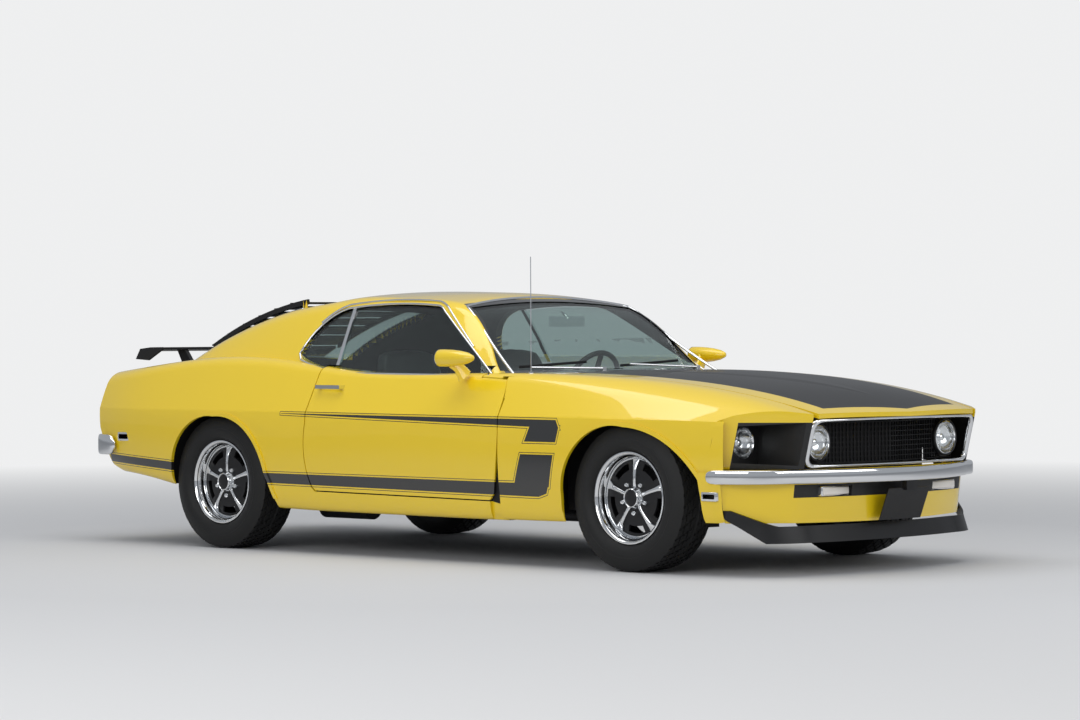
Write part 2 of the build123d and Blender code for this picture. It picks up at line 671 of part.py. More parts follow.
def deck_lid():
    """The rear lid, hinged along its front edge."""
    lid = (envelope & plan_prism(deck_outline(), 700.0, 1000.0)) - upper_body(lid_thickness)
    lid -= lower_under_lid
    x = deck_front_x - deck_hinge_setback
    for side in (-1, 1):
        lid -= hinge_groove(x, side * 546.0, deck_hinge_z, 150.0)
        lid += hinge_lug(x, side * deck_hinge_y, deck_hinge_z) & envelope
    return lid


def rear_spoiler():
    """A wing on two feet, with turned-down ends."""
    wing = outline((-2212.0, 996.0), ((-2130.0, 1004.0), (-2042.0, 1006.0)), (-2040.0, 994.0),
                   ((-2130.0, 990.0), (-2212.0, 984.0)))
    blade = side_prism(wing, -610.0, 610.0)
    end = outline((-2214.0, 998.0), (-2250.0, 944.0), (-2150.0, 938.0), (-2038.0, 994.0), (-2040.0, 1007.0),
                  (-2130.0, 1006.0))
    blade += both_sides(side_prism(end, -622.0, -610.0))
    foot = outline((-2110.0, 998.0), (-2050.0, 998.0), (-1955.0, 880.0), (-2040.0, 880.0))
    blade += both_sides(side_prism(foot, -460.0, -436.0))
    return blade - envelope


# ---- Glass --------------------------------------------------------------------------------
over_door = block(door_rear_x - shut_gap, 800.0, -1200.0, 0.0, 0.0, door_top_z + shut_gap)


def windshield():
    return glass_layer & front_prism(windshield_outline(), 60.0, 900.0)


def rear_window():
    return glass_layer & plan_prism(backlight_outline(), 930.0, 1400.0)


def side_glass(door_panel):
    """The frameless door glass, and the small quarter glass behind the divider."""
    pane = glass_layer & side_prism(window_outline(), -1200.0, 0.0)
    door_side = side_prism(ahead_of_divider(divider_half + 1.0), -1200.0, 0.0)
    front_pane = pane & door_side & side_prism(window_outline(-shut_gap), -1200.0, 0.0)
    skirt = glass_layer & door_side & block(-700.0, pillar_x, -1200.0, 0.0, 870.0, 900.0)
    front_pane = (front_pane + skirt) - door_panel
    quarter = pane - side_prism(ahead_of_divider(-divider_half), -1200.0, 0.0)
    return front_pane, quarter - over_door


def window_divider():
    """The bright bar between door glass and quarter glass."""
    strip = side_prism(ahead_of_divider(-divider_half), -1200.0, 0.0)
    strip -= side_prism(ahead_of_divider(divider_half), -1200.0, 0.0)
    shape = upper & strip & side_prism(window_outline(), -1200.0, 0.0)
    return shape - upper_body(glass_depth + glass_thickness) - over_door


def rear_louvre():
    """Stepped slats over the rear window on two side rails, hinged at the top."""
    top = (backlight_top_x + 10.0, 1248.0)
    bottom = (backlight_bottom_x + 20.0, 1022.0)
    middle = (-1500.0, 1158.0)
    rail_depth = 26.0
    rail = outline(top, (middle, bottom), (bottom[0], bottom[1] - rail_depth),
                   ((middle[0], middle[1] - rail_depth), (top[0], top[1] - rail_depth)))
    frame = both_sides(side_prism(rail, -louvre_half, -louvre_half + 14.0))
    pitch = (top[0] - bottom[0]) / louvre_slats
    for index in range(louvre_slats):
        x1 = top[0] - pitch * index
        x0 = x1 - pitch - 18.0
        z1 = louvre_height(x1, top, middle, bottom)
        z0 = louvre_height(x0, top, middle, bottom)
        slat = outline((x1, z1 - 14.0), (x0, z0 + 6.0), (x0, z0 - 1.0), (x1, z1 - 21.0))
        frame += side_prism(slat, -louvre_half + 7.0, louvre_half - 7.0)
    for side in (-1, 1):
        at = Pos(louvre_hinge_x, side * (louvre_half - 7.0), louvre_hinge_z) * Rot(90, 0, 0)
        frame += at * Cylinder(hinge_lug_radius, 14.0)
        frame -= at * Cylinder(hinge_pin_radius + 0.3, 30.0)
    return frame


def louvre_height(x, top, middle, bottom):
    """Height of a parabola through three points."""
    total = 0.0
    points = (top, middle, bottom)
    for index, (px, pz) in enumerate(points):
        share = pz
        for other, (ox, _) in enumerate(points):
            if other != index:
                share *= (x - ox) / (px - ox)
        total += share
    return total


# ---- Front and rear trim ------------------------------------------------------------------
grille_outline_points = (591.0, 687.0, 697.0, 584.0, 478.0)


def grille_opening(grow=0.0):
    half_top, z_corner, z_centre, half_bottom, z_low = grille_outline_points
    g = grow
    return outline((-half_bottom - g, z_low - g), (half_bottom + g, z_low - g), (half_top + g, z_corner + g - 3.0),
                   ((0.0, z_centre + g - 3.0), (-half_top - g, z_corner + g - 3.0)))


def grille_surround():
    band = nose_volume() - nose_volume(16.0)
    ring = front_prism(grille_opening(), 1900.0, 2600.0) - front_prism(grille_opening(-13.0), 1900.0, 2600.0)
    ring = band & ring & (lower - plan_prism(hood_outline(shut_gap), 690.0, 1200.0))
    return ring & block(1900.0, 2600.0, -591.0, 591.0, 0.0, 688.0)


def rectangle_wire(x, y, width, height):
    corners = [(x - width / 2, y - height / 2), (x + width / 2, y - height / 2),
               (x + width / 2, y + height / 2), (x - width / 2, y + height / 2)]
    return Wire.make_polygon([Vector(u, v, 0) for u, v in corners], close=True)


def grille():
    """A thin egg-crate mesh in two flat halves that meet in a V, behind the surround."""
    half_top, z_corner, _, half_bottom, z_low = grille_outline_points
    pitch = 22.0
    bar = 3.0
    depth = 8.0
    sweep = radians(grille_sweep)
    height = z_corner - z_low - 2 * grille_margin
    width = (half_bottom - 30.0) / cos(sweep)
    lamp_at = Vector(inner_lamp_y / cos(sweep), lamp_z - z_low - grille_margin)
    clear = lamp_radius + 4.0 + 0.75 * pitch
    holes = []
    for column in range(int((width - bar) / pitch)):
        for row in range(int(height / pitch)):
            middle = Vector(pitch * (column + 0.5) + 2.0, pitch * (row + 0.5) + 2.0)
            if (middle - lamp_at).length > clear:
                holes.append(rectangle_wire(middle.X, middle.Y, pitch - bar, pitch - bar))
    lamp_hole = Wire.make_circle(lamp_radius + 3.0, Plane(origin=(lamp_at.X, lamp_at.Y, 0)))
    face = Face(rectangle_wire(width / 2 + 0.1, height / 2, width, height), holes + [lamp_hole])
    half = Solid.extrude(face, Vector(0, 0, depth))
    lean = Plane(origin=(grille_x, 0, z_low + grille_margin), x_dir=(-sin(sweep), cos(sweep), 0),
                 z_dir=(cos(sweep), sin(sweep), 0))
    half = lean * half
    return [half, other_side(half)]


def headlamps():
    """Four round sealed lamps: a domed lens on a can, inner pair in the grille, outer in recesses."""
    dome_radius = 170.0
    dome = Pos(-dome_radius + 22.0, 0, 0) * Sphere(dome_radius)
    can = Pos(-10.0, 0, 0) * Rot(0, 90, 0) * Cylinder(lamp_radius, 64.0)
    lens = can & dome
    lamps = [Pos(inner_lamp_x - 20.0, side * inner_lamp_y, lamp_z) * lens for side in (-1, 1)]
    lamps += [Pos(outer_lamp_x, side * outer_lamp_y, lamp_z) * lens for side in (-1, 1)]
    return lamps


def front_valance():
    """The body-colour panel under the grille, with a slot for the parking lamps."""
    region = block(1960.0, 3000.0, -1200.0, 1200.0, 222.0, valance_top_z)
    panel = (lower & valance_volume() & region) - valance_volume(skin)
    slot = both_sides(Pos(2200.0, -390.0, 372.0) * Box(400.0, 190.0, 44.0))
    return panel - slot


def bumper_outline(setback):
    front = bumper_front_x - setback
    return outline(
        (1896.0, -884.0 + setback), ((2085.0 - 0.6 * setback, -815.0 + 0.8 * setback), (2200.0 - setback, -640.0)),
        ((front - 52.0, -330.0), (front, 0.0)), ((front - 52.0, 330.0), (2200.0 - setback, 640.0)),
        ((2085.0 - 0.6 * setback, 815.0 - 0.8 * setback), (1896.0, 884.0 - setback)), (1896.0, 0.0))


def front_bumper():
    """A slim chromed blade that wraps the nose, rounded along its edges."""
    blade = plan_prism(bumper_outline(0.0), bumper_low_z, bumper_high_z)
    blade -= plan_prism(bumper_outline(bumper_thickness), bumper_low_z - 1.0, bumper_high_z + 1.0)
    for side in (-1, 1):
        arm = block(2085.0, bumper_front_x, side * 350.0 - 12.0, side * 350.0 + 12.0, 420.0, 455.0)
        arm = arm & plan_prism(bumper_outline(0.5 * bumper_thickness), 400.0, 480.0)
        blade += arm - valance_volume()
    return blade


def chin_spoiler():
    """A flexible air dam under the valance: it leans forward and its ends sweep up."""
    lean = tan(radians(chin_lean))
    thickness = 7.0
    back = outline(
        (1600.0, -824.0), (1975.0, -824.0), (2080.0, -740.0), ((2150.0, -650.0), (2185.0, -520.0)),
        ((2225.0, -260.0), (2235.0, 0.0)), ((2225.0, 260.0), (2185.0, 520.0)),
        ((2150.0, 650.0), (2080.0, 740.0)), (1975.0, 824.0), (1600.0, 824.0))
    front = Pos(thickness, 0) * scale(back, by=(1.0, (824.0 + thickness) / 824.0, 1.0))
    height = 221.7 - chin_low_z
    wall = extrude(Pos(lean * height, 0, chin_low_z) * (front - back), amount=hypot(height, lean * height),
                   dir=(-lean, 0, 1))
    tips = extrude(Pos(0, 0, 221.7) * (front - back), amount=70.0)
    tips &= both_sides(block(1960.0, 2140.0, -1000.0, -650.0, 200.0, 400.0))
    tips -= side_prism(outline((1990.0, 400.0), (1990.0, 292.0), (2140.0, 221.7), (2300.0, 221.7), (2300.0, 400.0)),
                       -1000.0, 1000.0)
    wall = wall + (tips - valance_volume() & block(0, 3000, -1200, 1200, 0, 1000))
    rise = outline((1900.0, 100.0), (1900.0, 262.0), (1960.0, 262.0), (2125.0, chin_low_z), (2125.0, 100.0))
    wall -= side_prism(rise, -1200.0, 1200.0)
    return wall & block(1960.0, 3000.0, -1200.0, 1200.0, 0.0, 1000.0)


def front_plate():
    """A blank plate on a strap behind the bumper blade."""
    middle_x = 2319.0
    middle_z = 305.0
    panel = Pos(middle_x, 0, middle_z) * Rot(0, 21.0, 0) * Box(4.0, 2 * plate_half_width, plate_height)
    strap = block(2338.0, bumper_front_x - bumper_thickness - 0.3, -40.0, 40.0, 366.0, 440.0)
    return panel + (strap & plan_prism(bumper_outline(bumper_thickness + 0.3), 300.0, 480.0))


def parking_lamps():
    slot = Pos(2200.0, -390.0, 372.0) * Box(400.0, 189.4, 43.4)
    lamp = (slot & valance_volume(1.0)) - valance_volume(16.0)
    return [lamp, other_side(lamp)]


def side_markers():
    """Four small lamps let into the sides: two ahead of the front wheels, two at the tail."""
    front = block(1868.0, 1955.0, -900.0, -700.0, 333.0, 374.0)
    rear = block(-2104.0, -2013.0, -900.0, -700.0, 525.0, 570.0)
    layer = lower_body(-6.0)
    right = [(layer & front) - lower - arch_lip(front_arch()), (layer & rear) - lower]
    return right + [other_side(lamp) for lamp in right]


def rear_bumper():
    outer = outline((-2125.0, -880.0), ((-2270.0, -860.0), (-2345.0, -760.0)), ((-2380.0, 0.0), (-2345.0, 760.0)),
                    ((-2270.0, 860.0), (-2125.0, 880.0)), (-2125.0, 850.0),
                    ((-2250.0, 830.0), (-2310.0, 745.0)), ((-2344.0, 0.0), (-2310.0, -745.0)),
                    ((-2250.0, -830.0), (-2125.0, -850.0)))
    blade = extrude(Pos(0, 0, 452.0) * outer, amount=104.0)
    return blade - (lower_body(-0.3) & tail_volume())


def tail_lamps():
    """Six upright lenses, three a side, in the tail panel."""
    lenses = []
    for index in range(3):
        y = 380.0 + 105.0 * index
        lens = (Pos(tail_x - 4.0, y, 735.0) * Box(30.0, 80.0, 120.0)) - envelope
        lenses += [lens, other_side(lens)]
    return lenses


# ---- Running gear -------------------------------------------------------------------------
def tyre(x, y):
    half_bead = rim_width / 2 - rim_flange - 0.5
    half = tyre_section / 2
    tread = tread_width / 2
    r0 = bead_seat_radius
    face = outline(
        (r0, -half_bead), (rim_radius + 2.0, -half_bead), ((255.0, -half), (318.0, -tread - 6.0)),
        ((326.0, -tread + 2.0), (tyre_radius - 4.0, -tread + 12.0)), ((tyre_radius, 0.0), (tyre_radius - 4.0, tread - 12.0)),
        ((326.0, tread - 2.0), (318.0, tread + 6.0)), ((255.0, half), (rim_radius + 2.0, half_bead)),
        (r0, half_bead))
    return Pos(x, y, tyre_radius) * revolve(face, axis=Axis.Y, revolution_arc=360)


def wheel(x, y):
    """A deep pressed rim with five spokes, hub and plain cap; its outer face looks along -Y."""
    half = rim_width / 2
    r0 = bead_seat_radius
    barrel = outline(
        (r0, -half + rim_flange), (rim_radius, -half + rim_flange), (rim_radius, -half), (r0 - 6.0, -half),
        (r0 - 18.0, -half + 30.0), (r0 - 24.0, -half + 60.0), (r0 - 24.0, half - 40.0), (r0 - 8.0, half),
        (rim_radius, half), (rim_radius, half - rim_flange), (r0, half - rim_flange))
    shape = revolve(barrel, axis=Axis.Y, revolution_arc=360)
    disc_y = -half + 52.0
    disc = outline((0.0, disc_y - 8.0), (hub_radius, disc_y - 8.0), (r0 - 20.0, disc_y + 4.0),
                   (r0 - 20.0, disc_y + 18.0), (hub_radius, disc_y + 12.0), (0.0, disc_y + 12.0))
    spider = revolve(disc, axis=Axis.Y, revolution_arc=360)
    window = outline((0.0, 62.0), (40.0, 84.0), ((34.0, 128.0), (0.0, 132.0)), ((-34.0, 128.0), (-40.0, 84.0)))
    for index in range(5):
        cut = side_prism(Rot(0, 0, 36.0 + 72.0 * index) * window, -100.0, 100.0)
        spider -= cut
    cap = outline((0.0, disc_y - 40.0), ((28.0, disc_y - 36.0), (36.0, disc_y - 24.0)), (38.0, disc_y - 8.0),
                  (0.0, disc_y - 8.0))
    shape += spider
    shape += revolve(cap, axis=Axis.Y, revolution_arc=360)
    hub = outline((0.0, disc_y + 12.0), (hub_radius, disc_y + 12.0), (hub_radius, disc_y + 60.0),
                  (spindle_radius + running_clearance, disc_y + 60.0), (spindle_radius + running_clearance, disc_y + 20.0),
                  (0.0, disc_y + 20.0))
    shape += revolve(hub, axis=Axis.Y, revolution_arc=360)
    return Pos(x, y, tyre_radius) * shape


def spindle_tip_y():
    return track / 2 + rim_width / 2 - 52.0 - 24.0


def knuckle():
    """The right front upright: spindle, kingpin ends, brake and steering arm."""
    x = front_axle_x
    z = tyre_radius
    inner_y = kingpin_y
    spindle = rod((x, -inner_y, z), (x, -spindle_tip_y(), z), spindle_radius)
    post = block(x - 22.0, x + 22.0, -inner_y - 12.0, -inner_y + 12.0, z - 105.0, z + 125.0)
    brake = rod((x, -inner_y - 38.0, z), (x, -inner_y - 12.0, z), 128.0)
    arm = block(x - 120.0, x - 20.0, -inner_y - 8.0, -inner_y + 8.0, z - 62.0, z - 42.0)
    shape = spindle + post + brake + arm
    return shape


def front_suspension():
    """A crossmember with two arms a side that end in the kingpin joints."""
    x = front_axle_x
    beam = block(x - 60.0, x + 60.0, -bay_half_width, bay_half_width, 200.0, 239.0)
    plate_low = extrude(Pos(0, 0, 182.0) * outline((x - 60.0, -300.0), (x + 60.0, -300.0), (x + 22.0, -kingpin_y - 11.0),
                                                  (x - 22.0, -kingpin_y - 11.0)), amount=17.7)
    ball_low = rod((x, -kingpin_y, 199.0), (x, -kingpin_y, tyre_radius - 105.3), 12.0)
    plate_high = extrude(Pos(0, 0, 470.0) * outline((x - 90.0, -bay_half_width - apron_thickness), (x + 90.0, -bay_half_width - apron_thickness),
                                                    (x + 22.0, -kingpin_y - 11.0), (x - 22.0, -kingpin_y - 11.0)), amount=16.0)
    ball_high = rod((x, -kingpin_y, tyre_radius + 125.3), (x, -kingpin_y, 471.0), 12.0)
    side = plate_low + ball_low
    arms = both_sides(side)
    upper = both_sides(plate_high + ball_high)
    return [beam + arms] + list(upper.solids())


def rear_axle():
    """A banjo axle: tube, round differential and drums."""
    z = tyre_radius
    tube = rod((rear_axle_x, -612.0, z), (rear_axle_x, 612.0, z), 38.0)
    case = Pos(rear_axle_x, 0, z) * Sphere(112.0)
    nose = rod((rear_axle_x, 0, z), (rear_axle_x + 230.0, 0, z), 55.0)
    drums = both_sides(rod((rear_axle_x, -676.0, z), (rear_axle_x, -610.0, z), 132.0))
    tips = both_sides(rod((rear_axle_x, -spindle_tip_y(), z), (rear_axle_x, -670.0, z), spindle_radius))
    return tube + case + nose + drums + tips


def leaf_springs():
    """Two long leaf springs that lie on the axle tube, each from a floor eye to a shackle."""
    z = tyre_radius + 38.3
    top = rear_floor_z - 0.3
    front = rear_axle_x + 560.0
    rear = rear_axle_x - 650.0
    spring = outline((rear, top - 20.0), ((rear_axle_x, z), (front, top - 20.0)), (front, top),
                     (front - 20.0, top), ((rear_axle_x, z + 26.0), (rear + 20.0, top)), (rear, top))
    right = side_prism(spring, -560.0, -498.0)
    return [right, other_side(right)]


def drive_shaft():
    """A tube from the gearbox to the nose of the rear axle."""
    return rod((gearbox_end_x - 1.8, 0.0, gearbox_z), (rear_axle_x + 231.8, 0.0, tyre_radius), 34.0)


def engine_block():
    """One plain block for engine and gearbox, with its pan and air cleaner."""
    rear = firewall_front + 30.0
    core = block(rear, rear + engine_length, -250.0, 250.0, 330.0, 640.0)
    pan = block(rear + 60.0, rear + engine_length - 100.0, -130.0, 130.0, 245.0, 332.0)
    cleaner = Pos(rear + 330.0, 0, 705.0) * Cylinder(190.0, 60.0)
    neck = Pos(rear + 330.0, 0, 658.0) * Cylinder(60.0, 44.0)
    mounts_ = both_sides(block(rear + 280.0, rear + 340.0, -bay_half_width + 0.3, -245.0, 340.0, 380.0))
    gearbox = block(gearbox_end_x, rear + 1.0, -80.0, 80.0, gearbox_z - 70.0, gearbox_z + 45.0)
    return core + pan + cleaner + neck + mounts_ + gearbox


def radiator():
    return block(2020.0, 2059.7, -300.0, 300.0, 330.0, 730.0)


def exhaust():
    """Twin pipes under the floor, with two silencers and tips at the tail."""
    z = 199.7
    pipe = bar([(810.0, -270.0, 300.0), (725.0, -270.0, z), (-420.0, -270.0, z), (-760.0, -330.0, z)], 26.0)
    silencer = Pos(-930.0, -330.0, z) * Rot(0, 90, 0) * Cylinder(60.0, 340.0)
    return [pipe, silencer]


def fuel_tank():
    tank = Pos(-1930.0, 0, 360.7) * Box(420.0, 760.0, 178.0)
    return tank


# ---- Cabin --------------------------------------------------------------------------------
def dashboard():
    """The padded dashboard with two hooded bays, from pillar to pillar."""
    face = outline((549.7, 700.0), (549.7, 836.0), ((430.0, 856.0), (330.0, 826.0)), (330.0, 796.0),
                   (400.0, 760.0), (400.0, 640.0), (549.7, 640.0))
    return side_prism(face, -690.0, 690.0)


def steering_axis():
    return Vector(wheel_centre[0], wheel_centre[1], wheel_centre[2])


def steering_column():
    direction = Vector(cos(radians(column_rake)), 0, -sin(radians(column_rake)))
    start = Vector(*wheel_centre) + direction * 42.0
    end = Vector(*wheel_centre) + direction * 345.0
    return rod(tuple(start), tuple(end), 26.0) - dashboard()


def steering_wheel():
    """A thin rim, three flat spokes and a round pad."""
    tilt = Plane(origin=wheel_centre, z_dir=(-cos(radians(column_rake)), 0, sin(radians(column_rake))))
    ring = Torus(185.0, 13.0)
    pad = Pos(0, 0, -10.0) * Cylinder(52.0, 44.0)
    spokes = [Rot(0, 0, angle) * Pos(112.0, 0, -4.0) * Box(136.0, 34.0, 6.0) for angle in (0.0, 180.0, 90.0)]
    shape = ring + pad
    for spoke in spokes:
        shape += spoke
    shaft = Pos(0, 0, -36.0) * Cylinder(16.0, 11.0)
    return tilt * (shape + shaft)


def front_seats():
    """Two high-backed bucket seats on plain bases."""
    seats = []
    for y in (-375.0, 375.0):
        base = block(-420.0, 60.0, y - 170.0, y + 170.0, floor_top_z + 0.3, 320.0)
        cushion = block(-440.0, 110.0, y - 235.0, y + 235.0, 320.0, 460.0)
        cushion = fillet(cushion.edges().filter_by(Axis.Z), 60.0)
        back = outline((-400.0, 440.0), (-300.0, 440.0), (-440.0, 1010.0), (-540.0, 1010.0))
        rest = side_prism(back, y - 230.0, y + 230.0)
        seats.append(base + cushion + rest)
    return seats


def rear_seat():
    cushion = block(-1000.0, -722.0, -560.0, 560.0, 470.3, 560.0)
    back = side_prism(outline((-1128.0, 470.3), (-1001.0, 470.3), (-1060.0, 778.0), (-1128.0, 778.0)), -560.0, 560.0)
    return cushion + back


def console():
    """A low console along the tunnel, with a tray."""
    shape = outline((-420.0, 387.2), (-420.0, 440.0), (-80.0, 450.0), (195.0, 470.0), (195.0, 360.6))
    return side_prism(shape, -95.0, 95.0) - block(-330.0, -90.0, -70.0, 70.0, 415.0, 480.0)


def interior_mirror():
    glass = Pos(262.0, 0, 1128.0) * Box(16.0, 240.0, 52.0)
    stalk = rod((270.0, 0, 1140.0), (230.0, 0, 1178.0), 6.0)
    return (glass + stalk) & upper_body(glass_depth + glass_thickness + 0.3)


# ---- Small fittings -----------------------------------------------------------------------
def mirror_pod():
    """The right bullet mirror: an egg-shaped head on a swept foot."""
    head = outline((514.0, 0.0), ((430.0, 30.0), (293.0, 40.0)), (293.0, 0.0))
    shell = Pos(0, -905.0, 958.0) * revolve(head, axis=Axis.X, revolution_arc=360)
    foot = extrude(Plane.XY * Pos(0, 0, 0) * outline((350.0, -890.0), (450.0, -890.0), (430.0, -810.0), (340.0, -810.0)),
                   amount=88.0)
    return shell + (Pos(0, 0, 850.0) * foot)


def door_handle():
    """A bright pull on two stems, beside its round lock."""
    grip = block(-600.0, -430.0, -876.0, -864.0, 806.0, 824.0)
    stems = block(-600.0, -578.0, -870.0, -820.0, 806.0, 824.0) + block(-452.0, -430.0, -870.0, -820.0, 806.0, 824.0)
    return grip + stems


def wipers():
    """Two wipers parked on the glass."""
    pair = []
    for pivot, tip in (((735.0, -250.0, 905.0), (600.0, -610.0, 912.0)),
                       ((760.0, 400.0, 905.0), (640.0, 40.0, 922.0))):
        arm = rod(pivot, tip, 5.0) + Pos(pivot[0], pivot[1], 890.0) * Cylinder(11.0, 44.0)
        pair.append(arm - envelope)
    return pair


def aerial():
    """A mast on the right fender's rear corner."""
    foot = Vector(712.0, -730.0, 866.0)
    base = Pos(foot.X, foot.Y, foot.Z + 12.0) * Cylinder(13.0, 30.0)
    mast = Pos(foot.X, foot.Y, (foot.Z + 1427.0) / 2 + 10.0) * Cylinder(2.2, 1427.0 - foot.Z - 20.0)
    return (base + mast) - lower


if __name__ == "__main__":
    os.makedirs("parts", exist_ok=True)
    right_door = door()
    door_pane, quarter_pane = side_glass(right_door)
    handle = door_handle() - lower
    mirror_head = mirror_pod() - lower
    paired = {
        "door": right_door,
        "door_glass": door_pane,
        "fender": fender(),
        "mirror": mirror_head,
        "door_handle": handle,
        "knuckle": knuckle(),
        "tyre_front": tyre(front_axle_x, -track / 2),
        "tyre_rear": tyre(rear_axle_x, -track / 2),
        "rim_front": wheel(front_axle_x, -track / 2),
        "rim_rear": wheel(rear_axle_x, -track / 2),
    }
    single = {
        "body_shell": body_shell(),
        "quarter_glass": both_sides(quarter_pane),
        "window_divider": both_sides(window_divider()),
        "front_structure": front_structure(),
        "lamp_housings": both_sides(lamp_housing()),
        "hood": hood(),
        "deck_lid": deck_lid(),
        "rear_spoiler": rear_spoiler(),
        "windshield": windshield(),
        "rear_window": rear_window(),
        "rear_louvre": rear_louvre(),
        "grille_surround": grille_surround(),
        "grille": Compound(grille()),
        "cowl_fittings": Compound(wipers() + [aerial()]),
        "headlamps": Compound(headlamps()),
        "front_valance": front_valance(),
        "front_bumper": front_bumper(),
        "chin_spoiler": chin_spoiler(),
        "front_plate": front_plate(),
        "marker_lamps": Compound(side_markers() + parking_lamps()),
        "rear_bumper": rear_bumper(),
        "tail_lamps": Compound(tail_lamps()),
        "front_suspension": Compound(front_suspension()),
        "rear_axle": Compound([rear_axle()] + leaf_springs()),
        "drive_shaft": drive_shaft(),
        "engine_block": engine_block(),
        "radiator": radiator(),
        "exhaust": both_sides(joined(exhaust())),
        "fuel_tank": fuel_tank(),
        "dashboard": Compound([dashboard(), console()]),
        "steering_column": steering_column(),
        "steering_wheel": steering_wheel(),
        "front_seats": Compound(front_seats()),
        "rear_seat": rear_seat(),
        "interior_mirror": interior_mirror(),
    }
    for name, shape in paired.items():
        write(name + "_right", shape)
        write(name + "_left", other_side(shape))
    for name, shape in single.items():
        write(name, shape)
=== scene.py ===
"""The looks of a two-door fastback car: materials, fine pieces, light and camera.

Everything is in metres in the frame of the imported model: +X to the nose, +Y to the driver's
left, +Z up, with the origin on the ground under the middle of the car.
"""
from bisect import bisect_right
from math import atan2, cos, hypot, pi, radians, sin

import bmesh
import bpy
import numpy as np
from mathutils import Matrix, Vector
from mathutils.bvhtree import BVHTree
from mathutils.interpolate import poly_3d_calc


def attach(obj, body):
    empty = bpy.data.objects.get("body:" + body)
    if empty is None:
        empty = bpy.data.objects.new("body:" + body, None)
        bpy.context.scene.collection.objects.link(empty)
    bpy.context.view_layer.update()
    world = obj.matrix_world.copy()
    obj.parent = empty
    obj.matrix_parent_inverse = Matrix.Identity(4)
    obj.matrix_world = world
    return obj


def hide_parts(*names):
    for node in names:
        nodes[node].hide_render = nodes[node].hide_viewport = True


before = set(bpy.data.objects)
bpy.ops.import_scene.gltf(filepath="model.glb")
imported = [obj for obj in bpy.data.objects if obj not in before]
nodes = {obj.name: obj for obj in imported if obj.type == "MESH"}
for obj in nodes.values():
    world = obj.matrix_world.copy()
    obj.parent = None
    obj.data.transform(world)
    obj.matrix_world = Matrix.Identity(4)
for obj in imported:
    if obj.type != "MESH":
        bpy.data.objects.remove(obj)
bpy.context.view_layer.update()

# ---- Camera -------------------------------------------------------------------------------
CAMERA_AT = (11.7669, -12.3904, 1.0867)
CAMERA_YAW = 133.325
CAMERA_PITCH = -0.496
CAMERA_ROLL = -0.265
LENS_MM = 115.43
SENSOR_MM = 36.0
BACKGROUND = (0.86, 0.865, 0.87)
FADE_FROM = 3.5
FADE_RATE = 0.12


def set_camera():
    data = bpy.data.cameras.new("camera")
    data.lens = LENS_MM
    data.sensor_width = SENSOR_MM
    data.clip_end = 200.0
    camera = bpy.data.objects.new("camera", data)
    bpy.context.collection.objects.link(camera)
    yaw = radians(CAMERA_YAW)
    pitch = radians(CAMERA_PITCH)
    forward = Vector((cos(pitch) * cos(yaw), cos(pitch) * sin(yaw), sin(pitch)))
    turn = forward.to_track_quat("-Z", "Y").to_matrix()
    roll = Matrix.Rotation(radians(CAMERA_ROLL), 3, "Z")
    camera.matrix_world = Matrix.Translation(CAMERA_AT) @ (turn @ roll).to_4x4()
    bpy.context.scene.camera = camera


# ---- Light and floor ----------------------------------------------------------------------
def area_light(name, place, target, size, power, colour=(1.0, 1.0, 1.0)):
    data = bpy.data.lights.new(name, "AREA")
    data.shape = "RECTANGLE"
    data.size = size[0]
    data.size_y = size[1]
    data.energy = power
    data.color = colour
    light = bpy.data.objects.new(name, data)
    bpy.context.collection.objects.link(light)
    aim = Vector(target) - Vector(place)
    light.matrix_world = Matrix.Translation(place) @ aim.to_track_quat("-Z", "Y").to_matrix().to_4x4()
    return light


def set_world():
    world = bpy.data.worlds.new("studio")
    world.use_nodes = True
    tree = world.node_tree
    tree.nodes.clear()
    output = tree.nodes.new("ShaderNodeOutputWorld")
    light = tree.nodes.new("ShaderNodeBackground")
    light.inputs["Color"].default_value = (0.80, 0.84, 0.90, 1.0)
    light.inputs["Strength"].default_value = 0.46
    seen = tree.nodes.new("ShaderNodeBackground")
    seen.inputs["Color"].default_value = (*BACKGROUND, 1.0)
    seen.inputs["Strength"].default_value = 1.0
    path = tree.nodes.new("ShaderNodeLightPath")
    mix = tree.nodes.new("ShaderNodeMixShader")
    tree.links.new(path.outputs["Is Camera Ray"], mix.inputs["Fac"])
    tree.links.new(light.outputs["Background"], mix.inputs[1])
    tree.links.new(seen.outputs["Background"], mix.inputs[2])
    tree.links.new(mix.outputs["Shader"], output.inputs["Surface"])
    bpy.context.scene.world = world


def set_lights():
    area_light("overhead", (0.5, -1.0, 7.0), (0.0, 0.0, 0.5), (9.0, 5.0), 340.0)
    area_light("right_side", (3.0, -9.0, 3.6), (0.0, 0.0, 0.6), (9.0, 3.0), 250.0)
    area_light("front", (9.0, 1.0, 3.2), (1.0, 0.0, 0.6), (5.0, 3.0), 130.0)


